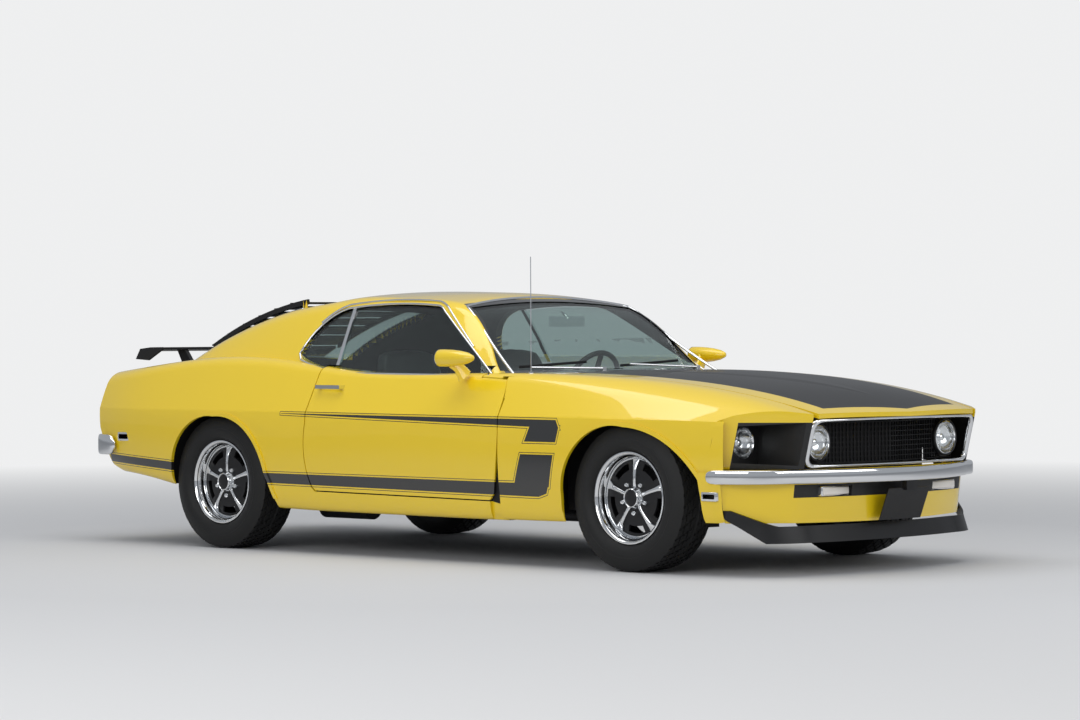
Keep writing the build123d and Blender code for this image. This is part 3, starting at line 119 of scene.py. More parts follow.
def make_floor():
    """A plain floor that fades into the background behind the car."""
    shape = bmesh.new()
    bmesh.ops.create_grid(shape, x_segments=1, y_segments=1, size=90.0)
    mesh = bpy.data.meshes.new("floor")
    shape.to_mesh(mesh)
    shape.free()
    floor = bpy.data.objects.new("floor", mesh)
    bpy.context.collection.objects.link(floor)
    paint = new_material("floor_paint", (0.60, 0.60, 0.605), 0.85)
    tree = paint.node_tree
    far = tree.nodes.new("ShaderNodeEmission")
    far.inputs["Color"].default_value = (*BACKGROUND, 1.0)
    x, y, _ = coordinates(tree)
    distance = (x * x + y * y).math("SQRT")
    fade = ((distance - FADE_FROM) * FADE_RATE).most(0.0).least(1.0)
    path = tree.nodes.new("ShaderNodeLightPath")
    share = fade * Field(tree, path.outputs["Is Camera Ray"])
    mix = tree.nodes.new("ShaderNodeMixShader")
    tree.links.new(share.socket, mix.inputs["Fac"])
    tree.links.new(tree.nodes["Principled BSDF"].outputs["BSDF"], mix.inputs[1])
    tree.links.new(far.outputs["Emission"], mix.inputs[2])
    tree.links.new(mix.outputs["Shader"], tree.nodes["Material Output"].inputs["Surface"])
    mesh.materials.append(paint)


# ---- Materials ----------------------------------------------------------------------------
def make_grain_group():
    """Fine surface grain: a height for bumps and a tone that drifts from patch to patch."""
    group = bpy.data.node_groups.new("surface_grain", "ShaderNodeTree")
    group.interface.new_socket("Scale", in_out="INPUT", socket_type="NodeSocketFloat")
    group.interface.new_socket("Height", in_out="OUTPUT", socket_type="NodeSocketFloat")
    group.interface.new_socket("Tone", in_out="OUTPUT", socket_type="NodeSocketFloat")
    entry = group.nodes.new("NodeGroupInput")
    leave = group.nodes.new("NodeGroupOutput")
    place = group.nodes.new("ShaderNodeTexCoord")
    fine = group.nodes.new("ShaderNodeTexNoise")
    fine.inputs["Detail"].default_value = 3.0
    coarse = group.nodes.new("ShaderNodeTexNoise")
    coarse.inputs["Scale"].default_value = 9.0
    coarse.inputs["Detail"].default_value = 5.0
    group.links.new(place.outputs["Object"], fine.inputs["Vector"])
    group.links.new(place.outputs["Object"], coarse.inputs["Vector"])
    group.links.new(entry.outputs["Scale"], fine.inputs["Scale"])
    group.links.new(fine.outputs["Fac"], leave.inputs["Height"])
    group.links.new(coarse.outputs["Fac"], leave.inputs["Tone"])
    return group


grain_group = make_grain_group()


def add_grain(material, scale, depth, drift, height=None):
    """Bump a material with fine grain, and let its roughness drift a little."""
    tree = material.node_tree
    shader = tree.nodes["Principled BSDF"]
    grain = tree.nodes.new("ShaderNodeGroup")
    grain.node_tree = grain_group
    grain.inputs["Scale"].default_value = scale
    bump = tree.nodes.new("ShaderNodeBump")
    bump.inputs["Distance"].default_value = depth
    bump.inputs["Strength"].default_value = 1.0
    tree.links.new(grain.outputs["Height"], bump.inputs["Height"])
    if height is not None:
        form = tree.nodes.new("ShaderNodeBump")
        form.inputs["Distance"].default_value = 0.012
        tree.links.new(height.socket, form.inputs["Height"])
        tree.links.new(form.outputs["Normal"], bump.inputs["Normal"])
    tree.links.new(bump.outputs["Normal"], shader.inputs["Normal"])
    if drift and not shader.inputs["Roughness"].links:
        tone = Field(tree, grain.outputs["Tone"])
        rough = tone * drift + (shader.inputs["Roughness"].default_value - 0.5 * drift)
        tree.links.new(rough.socket, shader.inputs["Roughness"])
    return material


def new_material(name, colour, roughness, metallic=0.0, coat=0.0, coat_roughness=0.03):
    material = bpy.data.materials.new(name)
    material.use_nodes = True
    shader = material.node_tree.nodes["Principled BSDF"]
    shader.inputs["Base Color"].default_value = (*colour, 1.0)
    shader.inputs["Roughness"].default_value = roughness
    shader.inputs["Metallic"].default_value = metallic
    shader.inputs["Coat Weight"].default_value = coat
    shader.inputs["Coat Roughness"].default_value = coat_roughness
    if not coat and not metallic:
        shader.inputs["Specular IOR Level"].default_value = 0.32
    return material


def glass_material(name, colour, roughness=0.0):
    material = new_material(name, colour, roughness)
    shader = material.node_tree.nodes["Principled BSDF"]
    shader.inputs["Transmission Weight"].default_value = 1.0
    shader.inputs["IOR"].default_value = 1.01
    shader.inputs["Coat Weight"].default_value = 1.0
    shader.inputs["Coat Roughness"].default_value = 0.0
    return material


class Field:
    """A number that varies over a surface, built from shader math nodes."""

    def __init__(self, tree, socket):
        self.tree = tree
        self.socket = socket

    def math(self, operation, *others):
        node = self.tree.nodes.new("ShaderNodeMath")
        node.operation = operation
        for index, value in enumerate((self,) + others):
            if isinstance(value, Field):
                self.tree.links.new(value.socket, node.inputs[index])
            else:
                node.inputs[index].default_value = value
        return Field(self.tree, node.outputs[0])

    def __add__(self, other):
        return self.math("ADD", other)

    def __sub__(self, other):
        return self.math("SUBTRACT", other)

    def __mul__(self, other):
        return self.math("MULTIPLY", other)

    def size(self):
        return self.math("ABSOLUTE")

    def least(self, other):
        return self.math("MINIMUM", other)

    def most(self, other):
        return self.math("MAXIMUM", other)

    def over(self, limit):
        return self.math("GREATER_THAN", limit)

    def under(self, limit):
        return self.math("LESS_THAN", limit)


def coordinates(tree):
    """The three object coordinates of the point being shaded."""
    source = tree.nodes.new("ShaderNodeTexCoord")
    split = tree.nodes.new("ShaderNodeSeparateXYZ")
    tree.links.new(source.outputs["Object"], split.inputs[0])
    return [Field(tree, split.outputs[index]) for index in range(3)]


def inside(u, v, corners):
    """Signed distance into a convex outline drawn anticlockwise; it is positive inside."""
    result = None
    for (u0, v0), (u1, v1) in zip(corners, corners[1:] + corners[:1]):
        length = hypot(u1 - u0, v1 - v0)
        a = -(v1 - v0) / length
        b = (u1 - u0) / length
        depth = u * a + v * b - (u0 * a + v0 * b)
        result = depth if result is None else result.least(depth)
    return result


# Side stripe in x and z: upper arm, two parts of the leaning bar, lower band, rear band.
STRIPES = [
    [(-0.814, 0.6800), (0.866, 0.6440), (1.040, 0.6400), (1.022, 0.6775), (-0.814, 0.6850)],
    [(0.828, 0.5760), (1.022, 0.5760), (1.040, 0.6450), (0.860, 0.6450)],
    [(0.757, 0.3700), (0.975, 0.3700), (1.007, 0.5180), (0.804, 0.5180)],
    [(-0.960, 0.3400), (0.905, 0.3240), (0.956, 0.3400), (0.975, 0.3850), (-0.960, 0.3890)],
    [(-2.200, 0.4160), (-1.560, 0.3790), (-1.560, 0.4220), (-2.200, 0.4550)],
]
PIN_GAP = 0.0065
PIN_WIDTH = 0.0016
SIDES_FROM_Y = 0.6
SIDES_BELOW_Z = 0.72


def stripe_mask(tree):
    x, y, z = coordinates(tree)
    depth = None
    for corners in STRIPES:
        part = inside(x, z, corners)
        depth = part if depth is None else depth.most(part)
    pin = (depth + (PIN_GAP + PIN_WIDTH)).size().under(PIN_WIDTH)
    return depth.over(0.0).most(pin) * y.size().over(SIDES_FROM_Y) * z.under(SIDES_BELOW_Z)


# The black centre of the hood: half its width at one x, and how its edges run from there.
HOOD_BLACK_X = 0.700
HOOD_BLACK_HALF = 0.600
HOOD_BLACK_TAPER = 0.078
HOOD_BLACK_FRONT = 2.336
HOOD_BLACK_SWEEP = 0.20
COWL_X = 0.585


def hood_mask(tree):
    """The black centre of the hood and of the cowl behind it."""
    x, y, z = coordinates(tree)
    side = y.size() + (x - HOOD_BLACK_X) * HOOD_BLACK_TAPER
    front = x + y.size() * HOOD_BLACK_SWEEP
    return side.under(HOOD_BLACK_HALF) * front.under(HOOD_BLACK_FRONT) * x.over(COWL_X) * z.over(0.70)


RECESS_BACK = 1.955
RECESS_HALF = 0.7935
RECESS_LOW = 0.465
RECESS_HIGH = 0.6775


def recess_mask(tree):
    """The black recess around an outer head lamp."""
    x, y, z = coordinates(tree)
    return x.over(RECESS_BACK) * y.size().under(RECESS_HALF) * z.over(RECESS_LOW) * z.under(RECESS_HIGH)


YELLOW = (0.86, 0.60, 0.006)
RED = (0.42, 0.010, 0.008)
PAINT_ROUGHNESS = 0.38
COVERED_COAT = 0.08


def masked_paint(name, mask, over_colour, over_roughness):
    """Gloss yellow paint with another paint laid over part of it."""
    material = new_material(name, YELLOW, PAINT_ROUGHNESS, coat=1.0)
    tree = material.node_tree
    shader = tree.nodes["Principled BSDF"]
    cover = mask(tree)
    tint = tree.nodes.new("ShaderNodeMix")
    tint.data_type = "RGBA"
    tree.links.new(cover.socket, tint.inputs["Factor"])
    tint.inputs[6].default_value = (*YELLOW, 1.0)
    tint.inputs[7].default_value = (*over_colour, 1.0)
    tree.links.new(tint.outputs[2], shader.inputs["Base Color"])
    gloss = cover * (over_roughness - PAINT_ROUGHNESS) + PAINT_ROUGHNESS
    tree.links.new(gloss.socket, shader.inputs["Roughness"])
    if over_roughness > PAINT_ROUGHNESS:
        tree.links.new((cover * (COVERED_COAT - 1.0) + 1.0).socket, shader.inputs["Coat Weight"])
    return material


TAIL_PANEL_X = -2.262
TAIL_PANEL_HALF = 0.665
TAIL_PANEL_LOW = 0.652
TAIL_PANEL_HIGH = 0.818


def tail_mask(tree):
    """The black panel between and around the tail lamps."""
    x, y, z = coordinates(tree)
    return (x.under(TAIL_PANEL_X) * y.size().under(TAIL_PANEL_HALF)
            * z.over(TAIL_PANEL_LOW) * z.under(TAIL_PANEL_HIGH))


# The windshield's bright frame: its right foot, its right upper corner and its top middle.
SHIELD_FOOT = Vector((0.608, -0.733, 0.884))
SHIELD_CORNER = Vector((0.145, -0.575, 1.203))
SHIELD_TOP = Vector((0.095, 0.0, 1.233))
SHIELD_SPREAD = 0.3407


def pillar_mask(tree):
    """The black border of the windshield, out to its bright frame."""
    x, y, z = coordinates(tree)
    inner = y.size() - (x - SHIELD_CORNER.x) * SHIELD_SPREAD
    along = x.over(0.110) * x.under(0.612) * z.over(0.880)
    return inner.under(0.573) * along * (x * 0.90 + z).under(1.440)


def body_mask(tree):
    return stripe_mask(tree).most(hood_mask(tree)).most(tail_mask(tree)).most(pillar_mask(tree))


# Painted shade under the front bumper: half width, foot and top of the near-black band on the valance.
SLOT_SHADE_HALF = 0.605
SLOT_SHADE_LOW = 0.346
SLOT_SHADE_HIGH = 0.404


def valance_shade_mask(tree):
    """Painted shade: a near-black band laid on the valance, in the slot under the front bumper."""
    _, y, z = coordinates(tree)
    return y.size().under(SLOT_SHADE_HALF) * z.over(SLOT_SHADE_LOW) * z.under(SLOT_SHADE_HIGH)


BULGE_TIP_X = 2.16
BULGE_REAR_X = 0.83
BULGE_WIDENING = 0.27
BULGE_EDGE = 9.0


def hood_bulge(tree):
    """A raised middle that narrows to a point near the front of the hood."""
    x, y, _ = coordinates(tree)
    reach = (x - BULGE_TIP_X) * -BULGE_WIDENING
    rise = ((reach - y.size()) * BULGE_EDGE).most(0.0).least(1.0)
    return rise * x.over(BULGE_REAR_X)


def two_lenses(name):
    """Clear in front of the middle of the car and red behind it."""
    material = new_material(name, (0.80, 0.78, 0.74), 0.12, coat=1.0)
    tree = material.node_tree
    shader = tree.nodes["Principled BSDF"]
    x = coordinates(tree)[0]
    mix = tree.nodes.new("ShaderNodeMix")
    mix.data_type = "RGBA"
    tree.links.new(x.under(0.0).socket, mix.inputs["Factor"])
    mix.inputs[6].default_value = (0.80, 0.76, 0.70, 1.0)
    mix.inputs[7].default_value = (*RED, 1.0)
    tree.links.new(mix.outputs[2], shader.inputs["Base Color"])
    return material


def plain(name, colour, roughness, grain, metallic=0.0, coat=0.0):
    """One colour with its grain: scale, depth and drift of roughness."""
    return add_grain(new_material(name, colour, roughness, metallic, coat), *grain)


PAINT_GRAIN = (700.0, 0.00003, 0.0)
LENS_GRAIN = (260.0, 0.0004, 0.04)
STRIPE_BLACK = (0.009, 0.009, 0.009)
yellow = plain("yellow_paint", YELLOW, PAINT_ROUGHNESS, (700.0, 0.00003, 0.06), coat=1.0)
striped_yellow = add_grain(masked_paint("striped_paint", body_mask, STRIPE_BLACK, 0.34), *PAINT_GRAIN)
hood_paint = masked_paint("hood_paint", hood_mask, (0.012, 0.0125, 0.013), 0.46)
add_grain(hood_paint, 900.0, 0.00005, 0.0, hood_bulge(hood_paint.node_tree))
recess_paint = add_grain(masked_paint("recess_paint", recess_mask, STRIPE_BLACK, 0.42), *PAINT_GRAIN)
# The valance's yellow paint, with painted shade as a near-black band in the slot under the bumper.
slot_shade_paint = masked_paint("valance_paint_with_shade", valance_shade_mask, (0.006, 0.006, 0.006), 0.60)
valance_paint_with_shade = add_grain(slot_shade_paint, *PAINT_GRAIN)
satin_black = plain("satin_black", (0.011, 0.011, 0.012), 0.42, (900.0, 0.00010, 0.10))
matte_black = plain("matte_black", (0.008, 0.008, 0.009), 0.60, (600.0, 0.00015, 0.12))
inner_black = plain("inner_black", (0.010, 0.010, 0.011), 0.66, (500.0, 0.0002, 0.12))
chrome = plain("chrome", (0.80, 0.81, 0.82), 0.06, (40.0, 0.00004, 0.05), metallic=1.0)
rubber = plain("rubber", (0.011, 0.011, 0.011), 0.58, (1200.0, 0.00012, 0.16))
iron = plain("iron", (0.035, 0.035, 0.037), 0.6, (320.0, 0.0004, 0.20), metallic=0.5)
vinyl = plain("vinyl", (0.014, 0.014, 0.015), 0.46, (420.0, 0.0004, 0.10))
red_lens = plain("red_lens", RED, 0.12, LENS_GRAIN, coat=1.0)
marker_lens = add_grain(two_lenses("marker_lens"), *LENS_GRAIN)
mirror_glass = plain("mirror_glass", (0.75, 0.77, 0.78), 0.02, (20.0, 0.00002, 0.01), metallic=1.0)
reflector = plain("reflector", (0.86, 0.87, 0.88), 0.16, (90.0, 0.0006, 0.06), metallic=1.0)
window_glass = glass_material("window_glass", (0.72, 0.84, 0.80))
lamp_glass = glass_material("lamp_glass", (0.97, 0.98, 0.98), 0.02)

# ---- Body surface -------------------------------------------------------------------------
# The stations of the body in metres, from which smooth paint normals and trims are taken.
LOWER_NAMES = ("x", "z_centre", "y_corner", "z_corner", "rounding",
               "y_crease", "z_crease", "y_low", "y_sill", "z_sill")
LOWER = [
    (-2.420, 0.890, 0.735, 0.852, 0.060, 0.790, 0.690, 0.785, 0.735, 0.425),
    (-2.100, 0.905, 0.775, 0.897, 0.062, 0.858, 0.688, 0.850, 0.800, 0.362),
    (-1.750, 0.922, 0.778, 0.937, 0.058, 0.890, 0.686, 0.880, 0.835, 0.322),
    (-1.316, 0.935, 0.775, 0.964, 0.058, 0.903, 0.686, 0.893, 0.850, 0.250),
    (-0.850, 0.925, 0.785, 0.938, 0.050, 0.905, 0.686, 0.895, 0.850, 0.216),
    (-0.400, 0.888, 0.800, 0.892, 0.036, 0.905, 0.686, 0.893, 0.848, 0.210),
    (0.200, 0.880, 0.805, 0.884, 0.034, 0.905, 0.686, 0.892, 0.846, 0.208),
    (0.700, 0.893, 0.788, 0.886, 0.050, 0.900, 0.686, 0.890, 0.845, 0.208),
    (1.250, 0.889, 0.765, 0.862, 0.090, 0.893, 0.686, 0.884, 0.842, 0.214),
    (1.700, 0.856, 0.735, 0.818, 0.095, 0.878, 0.686, 0.868, 0.830, 0.228),
    (2.050, 0.806, 0.705, 0.757, 0.060, 0.850, 0.676, 0.838, 0.795, 0.236),
    (2.400, 0.700, 0.665, 0.676, 0.024, 0.790, 0.640, 0.775, 0.735, 0.220),
]
UPPER_NAMES = ("x", "z_centre", "y_corner", "z_corner", "rounding", "y_foot")
UPPER = [
    (-2.150, 0.872, 0.560, 0.856, 0.030, 0.677),
    (-1.960, 0.905, 0.590, 0.884, 0.050, 0.717),
    (-1.764, 0.994, 0.600, 0.974, 0.060, 0.762),
    (-1.499, 1.112, 0.588, 1.086, 0.070, 0.801),
    (-1.187, 1.206, 0.582, 1.172, 0.070, 0.821),
    (-0.818, 1.258, 0.584, 1.222, 0.060, 0.841),
    (-0.350, 1.279, 0.590, 1.240, 0.056, 0.851),
    (0.000, 1.262, 0.596, 1.226, 0.050, 0.856),
    (0.130, 1.234, 0.600, 1.204, 0.040, 0.855),
    (0.370, 1.068, 0.672, 1.038, 0.034, 0.849),
    (0.610, 0.893, 0.742, 0.874, 0.020, 0.843),
]
UPPER_FOOT_Z = 0.760


def spline(knots, values):
    """A natural cubic spline through values at knots, as a function."""
    count = len(knots)
    gaps = [knots[i + 1] - knots[i] for i in range(count - 1)]
    system = np.zeros((count, count))
    right = np.zeros(count)
    system[0, 0] = 1.0
    system[-1, -1] = 1.0
    for i in range(1, count - 1):
        system[i, i - 1] = gaps[i - 1]
        system[i, i] = 2 * (gaps[i - 1] + gaps[i])
        system[i, i + 1] = gaps[i]
        right[i] = 6 * ((values[i + 1] - values[i]) / gaps[i] - (values[i] - values[i - 1]) / gaps[i - 1])
    bend = np.linalg.solve(system, right)

    def value(x):
        i = min(max(bisect_right(knots, x) - 1, 0), count - 2)
        h = gaps[i]
        a = (knots[i + 1] - x) / h
        b = (x - knots[i]) / h
        curved = ((a ** 3 - a) * bend[i] + (b ** 3 - b) * bend[i + 1]) * h * h / 6
        return a * values[i] + b * values[i + 1] + curved

    return value


def toward(start, end, distance):
    share = distance / hypot(end[0] - start[0], end[1] - start[1])
    return (start[0] + share * (end[0] - start[0]), start[1] + share * (end[1] - start[1]))


def blended(corner, before, after, size):
    entry = toward(corner, before, size)
    leave = toward(corner, after, size)
    return [entry, toward(entry, corner, 0.6 * size), toward(leave, corner, 0.6 * size), leave]


def bezier(points, t):
    layer = list(points)
    while len(layer) > 1:
        layer = [(p[0] * (1 - t) + q[0] * t, p[1] * (1 - t) + q[1] * t) for p, q in zip(layer, layer[1:])]
    return layer[0]


def lower_curves(row):
    centre = (0.0, row["z_centre"])
    corner = (row["y_corner"], row["z_corner"])
    crease = (row["y_crease"], row["z_crease"])
    sill = (row["y_sill"], row["z_sill"])
    low = (row["y_low"], sill[1] + 0.26 * (crease[1] - sill[1]))
    crown = (0.45 * corner[0], centre[1])
    bend = blended(corner, crown, crease, row["rounding"])
    run_in = toward(bend[0], crown, row["rounding"])
    drop = crease[1] - low[1]
    rise = low[1] - sill[1]
    shoulder = [bend[-1], toward(bend[-1], crease, row["rounding"]), toward(crease, corner, 0.020), crease]
    side = [crease, (crease[0] + 0.005, crease[1] - 0.33 * drop),
            (low[0] + 0.06 * drop, low[1] + 0.33 * drop), low]
    turn = [low, (low[0] - 0.03 * rise, low[1] - 0.45 * rise), (sill[0] + 0.3 * rise, sill[1]), sill]
    return [([centre, crown, run_in, bend[0]], 12), (bend, 8), (shoulder, 9), (side, 12), (turn, 7)]


def upper_curves(row):
    centre = (0.0, row["z_centre"])
    corner = (row["y_corner"], row["z_corner"])
    foot = (row["y_foot"], UPPER_FOOT_Z)
    crown = (0.5 * corner[0], centre[1])
    bend = blended(corner, crown, foot, row["rounding"])
    run_in = toward(bend[0], crown, row["rounding"])
    middle = (0.5 * (bend[-1][0] + foot[0]) + 0.008, 0.5 * (bend[-1][1] + foot[1]))
    return [([centre, crown, run_in, bend[0]], 12), (bend, 8), ([bend[-1], middle, foot], 14)]


class Skin:
    """A fine mesh of one body loft, with smooth normals and a search tree."""

    def __init__(self, names, stations, curves, step=0.012):
        knots = [row[0] for row in stations]
        columns = {name: spline(knots, [row[i] for row in stations]) for i, name in enumerate(names)}
        count = int((knots[-1] - knots[0]) / step)
        grid = []
        for i in range(count + 1):
            x = knots[0] + (knots[-1] - knots[0]) * i / count
            half = []
            for points, pieces in curves({name: column(x) for name, column in columns.items()}):
                half += [bezier(points, k / pieces) for k in range(pieces)]
            half.append(points[-1])
            grid.append([(x, y, z) for y, z in reversed(half)] + [(x, -y, z) for y, z in half[1:]])
        place = np.array(grid)
        along = np.gradient(place, axis=0)
        across = np.gradient(place, axis=1)
        normals = np.cross(across, along)
        normals /= np.linalg.norm(normals, axis=2, keepdims=True)
        middle = normals.shape[1] // 2
        if normals[0, middle, 2] < 0:
            normals = -normals
        rows, width = place.shape[:2]
        self.places = [Vector(p) for p in place.reshape(-1, 3)]
        self.normals = [Vector(n) for n in normals.reshape(-1, 3)]
        self.faces = []
        for i in range(rows - 1):
            for j in range(width - 1):
                a = i * width + j
                self.faces.append((a, a + 1, a + width + 1))
                self.faces.append((a, a + width + 1, a + width))
        self.tree = BVHTree.FromPolygons(self.places, self.faces)

    def nearest(self, point, reach=0.012):
        """Distance to the surface and its smooth normal there."""
        place, _, index, distance = self.tree.find_nearest(point, reach)
        if place is None:
            return None
        corners = self.faces[index]
        shares = poly_3d_calc([self.places[k] for k in corners], place)
        normal = Vector((0.0, 0.0, 0.0))
        for share, k in zip(shares, corners):
            normal += self.normals[k] * share
        return distance, normal.normalized(), place

    def hit(self, origin, direction):
        """Where a ray meets the surface, and the smooth normal there."""
        place = self.tree.ray_cast(Vector(origin), Vector(direction))[0]
        if place is None:
            return None
        found = self.nearest(place)
        return place, found[1]


lower_skin = Skin(LOWER_NAMES, LOWER, lower_curves)
upper_skin = Skin(UPPER_NAMES, UPPER, upper_curves)
SMOOTH_ANGLE = cos(radians(33.0))
SKIN_AGREEMENT = 0.90


def averaged_normals(mesh):
    """One normal for each face corner, averaged over faces that meet at a small angle."""
    count = len(mesh.vertices)
    place = np.empty(count * 3)
    mesh.vertices.foreach_get("co", place)
    place = place.reshape(-1, 3)
    keys = np.round(place * 20000.0).astype(np.int64)
    _, spot = np.unique(keys, axis=0, return_inverse=True)
    spot = spot.reshape(-1)
    corners = np.empty(len(mesh.loops), dtype=np.int64)
    mesh.loops.foreach_get("vertex_index", corners)
    tri = corners.reshape(-1, 3)
    a, b, c = place[tri[:, 0]], place[tri[:, 1]], place[tri[:, 2]]
    face = np.cross(b - a, c - a)
    length = np.linalg.norm(face, axis=1, keepdims=True)
    face = face / np.maximum(length, 1e-14)
    weights = np.empty((len(tri), 3))
    for k, (p, q, r) in enumerate(((a, b, c), (b, c, a), (c, a, b))):
        u = q - p
        v = r - p
        scale = np.maximum(np.linalg.norm(u, axis=1) * np.linalg.norm(v, axis=1), 1e-14)
        weights[:, k] = np.arccos(np.clip((u * v).sum(axis=1) / scale, -1.0, 1.0))
    weights = weights.reshape(-1) + 1e-6
    owner = np.repeat(np.arange(len(tri)), 3)
    where = spot[corners]
    order = np.argsort(where, kind="stable")
    edges = np.flatnonzero(np.diff(where[order])) + 1
    result = face[owner].copy()
    for group in np.split(order, edges):
        if len(group) > 1:
            near = face[owner[group]]
            alike = (near @ near.T) > SMOOTH_ANGLE
            mixed = (alike * weights[group]) @ near
            result[group] = mixed / np.maximum(np.linalg.norm(mixed, axis=1, keepdims=True), 1e-12)
    return result, face, place, tri


def finish_normals(node, skins=()):
    """Shade a CAD node smooth, with the body's own normals wherever it lies on the body."""
    mesh = nodes[node].data
    result, face, place, tri = averaged_normals(mesh)
    if skins:
        cache = {}
        for index in range(len(tri)):
            normal = Vector(face[index])
            for k in range(3):
                vertex = int(tri[index, k])
                if vertex not in cache:
                    point = Vector(place[vertex])
                    found = [skin.nearest(point) for skin in skins]
                    cache[vertex] = sorted((hit for hit in found if hit), key=lambda hit: hit[0])
                for _, smooth, _ in cache[vertex]:
                    if smooth.dot(normal) > SKIN_AGREEMENT:
                        result[index * 3 + k] = smooth
                        break
    mesh.normals_split_custom_set([tuple(n) for n in result])


TAIL_FROM_X = -2.0
INSIDE_REACH = 0.060
INSIDE_DEPTH = 0.015


def in_windshield_seat(centre, normal):
    """The painted seat around the windshield, which lies deeper than the rest of the body."""
    return 0.10 < centre.x < 0.62 and centre.z > 0.88 and min(normal.x, normal.z) > 0.4


def darken_inside(node, skins, material):
    """Give the faces that look into the car, or lie deep in it, another material."""
    mesh = nodes[node].data
    mesh.materials.append(material)
    for polygon in mesh.polygons:
        centre = polygon.center
        tail_face = centre.x < TAIL_FROM_X and polygon.normal.x < -0.5
        if tail_face or in_windshield_seat(centre, polygon.normal):
            continue
        found = [hit for hit in (skin.nearest(centre, INSIDE_REACH) for skin in skins) if hit]
        nearest = min(found, key=lambda hit: hit[0], default=None)
        if nearest is None or nearest[0] > INSIDE_DEPTH or nearest[1].dot(polygon.normal) < -0.3:
            polygon.material_index = 1


# ---- Shapes -------------------------------------------------------------------------------
def add_piece(name, shape, material, body, sharp=35.0):
    """Link a finished bmesh as a smooth-shaded object at the origin, riding on a body."""
    bmesh.ops.recalc_face_normals(shape, faces=shape.faces)
    mesh = bpy.data.meshes.new(name)
    shape.to_mesh(mesh)
    shape.free()
    for polygon in mesh.polygons:
        polygon.use_smooth = True
    mesh.set_sharp_from_angle(angle=radians(sharp))
    mesh.materials.append(material)
    piece = bpy.data.objects.new(name, mesh)
    bpy.context.collection.objects.link(piece)
    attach(piece, body)
    return piece


def spin_profile(shape, profile, centre, axis, out, steps=96):
    """Spin a profile of (radius, distance outwards) about an axis through a centre."""
    across = Vector((1.0, 0.0, 0.0)) if axis == "y" else Vector((0.0, 0.0, 1.0))
    along = Vector((0.0, out, 0.0)) if axis == "y" else Vector((out, 0.0, 0.0))
    line = [shape.verts.new(Vector(centre) + across * r + along * o) for r, o in profile]
    edges = [shape.edges.new(pair) for pair in zip(line, line[1:])]
    bmesh.ops.spin(shape, geom=line + edges, cent=centre, axis=along, dvec=(0.0, 0.0, 0.0),
                   angle=2 * pi, steps=steps, use_merge=True)
    bmesh.ops.remove_doubles(shape, verts=shape.verts, dist=1e-6)


def section_loop(shape, place, along, up, width, height, power=1.0, sides=20):
    """A closed loop across a path: round at power 1, and squarer below it."""
    side = Vector(along).cross(Vector(up)).normalized()
    lift = side.cross(Vector(along)).normalized()
    ring = bmesh.ops.create_circle(shape, segments=sides, radius=1.0)["verts"]
    for vertex in ring:
        u, v = vertex.co.x, vertex.co.y
        u = (abs(u) ** power) * (1 if u >= 0 else -1)
        v = (abs(v) ** power) * (1 if v >= 0 else -1)
        vertex.co = Vector(place) + side * (u * width / 2) + lift * (v * height / 2)
    return list({edge for vertex in ring for edge in vertex.link_edges})


def loft_bar(shape, stations, up=(0.0, 0.0, 1.0), power=0.45, sides=20, closed=False):
    """A bar bridged through sections: each station is a place, a width and a height."""
    loops = []
    last = len(stations) - 1
    for index, (place, width, height) in enumerate(stations):
        before = Vector(stations[index - 1 if index or closed else 0][0])
        after = Vector(stations[(index + 1) % (last + 1) if index < last or closed else last][0])
        along = (after - before).normalized()
        loops.append(section_loop(shape, place, along, up, width, height, power, sides))
    for first, second in zip(loops, loops[1:]):
        bmesh.ops.bridge_loops(shape, edges=first + second)
    if closed:
        bmesh.ops.bridge_loops(shape, edges=loops[-1] + loops[0])
    else:
        bmesh.ops.holes_fill(shape, edges=loops[0], sides=sides)
        bmesh.ops.holes_fill(shape, edges=loops[-1], sides=sides)


def trim_bar(name, runs, material, body, radius, closed=False):
    """Thin bright bars along runs of points, as one bevelled curve."""
    data = bpy.data.curves.new(name, "CURVE")
    data.dimensions = "3D"
    data.bevel_depth = radius
    data.bevel_resolution = 3
    data.use_fill_caps = True
    for points in runs:
        line = data.splines.new("POLY")
        line.points.add(len(points) - 1)
        for knot, place in zip(line.points, points):
            knot.co = (*place, 1.0)
        line.use_cyclic_u = closed
        line.use_smooth = True
    data.materials.append(material)
    piece = bpy.data.objects.new(name, data)
    bpy.context.collection.objects.link(piece)
    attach(piece, body)
    return piece


def arc(start, through, end, pieces=10):
    """Points along the circle through three points of a plane."""
    (x1, y1), (x2, y2), (x3, y3) = start, through, end
    d = 2 * (x1 * (y2 - y3) + x2 * (y3 - y1) + x3 * (y1 - y2))
    s1, s2, s3 = x1 ** 2 + y1 ** 2, x2 ** 2 + y2 ** 2, x3 ** 2 + y3 ** 2
    ux = (s1 * (y2 - y3) + s2 * (y3 - y1) + s3 * (y1 - y2)) / d
    uy = (s1 * (x3 - x2) + s2 * (x1 - x3) + s3 * (x2 - x1)) / d
    radius = hypot(x1 - ux, y1 - uy)
    a1 = atan2(y1 - uy, x1 - ux)
    turn = (atan2(y3 - uy, x3 - ux) - a1) % (2 * pi)
    if (atan2(y2 - uy, x2 - ux) - a1) % (2 * pi) > turn:
        turn -= 2 * pi
    return [(ux + radius * cos(a1 + turn * k / pieces), uy + radius * sin(a1 + turn * k / pieces))
            for k in range(pieces + 1)]


def traced(start, *steps, pieces=10):
    """Points along lines and arcs, given as in a drawing: a point, or a pair for an arc."""
    points = [start]
    for step in steps:
        if isinstance(step[0], tuple):
            points += arc(points[-1], step[0], step[1], pieces)[1:]
        else:
            a = points[-1]
            parts = max(1, int(hypot(step[0] - a[0], step[1] - a[1]) / 0.03))
            points += [(a[0] + (step[0] - a[0]) * k / parts, a[1] + (step[1] - a[1]) * k / parts)
                       for k in range(1, parts + 1)]
    return points


SIDES = (("right", -1.0), ("left", 1.0))

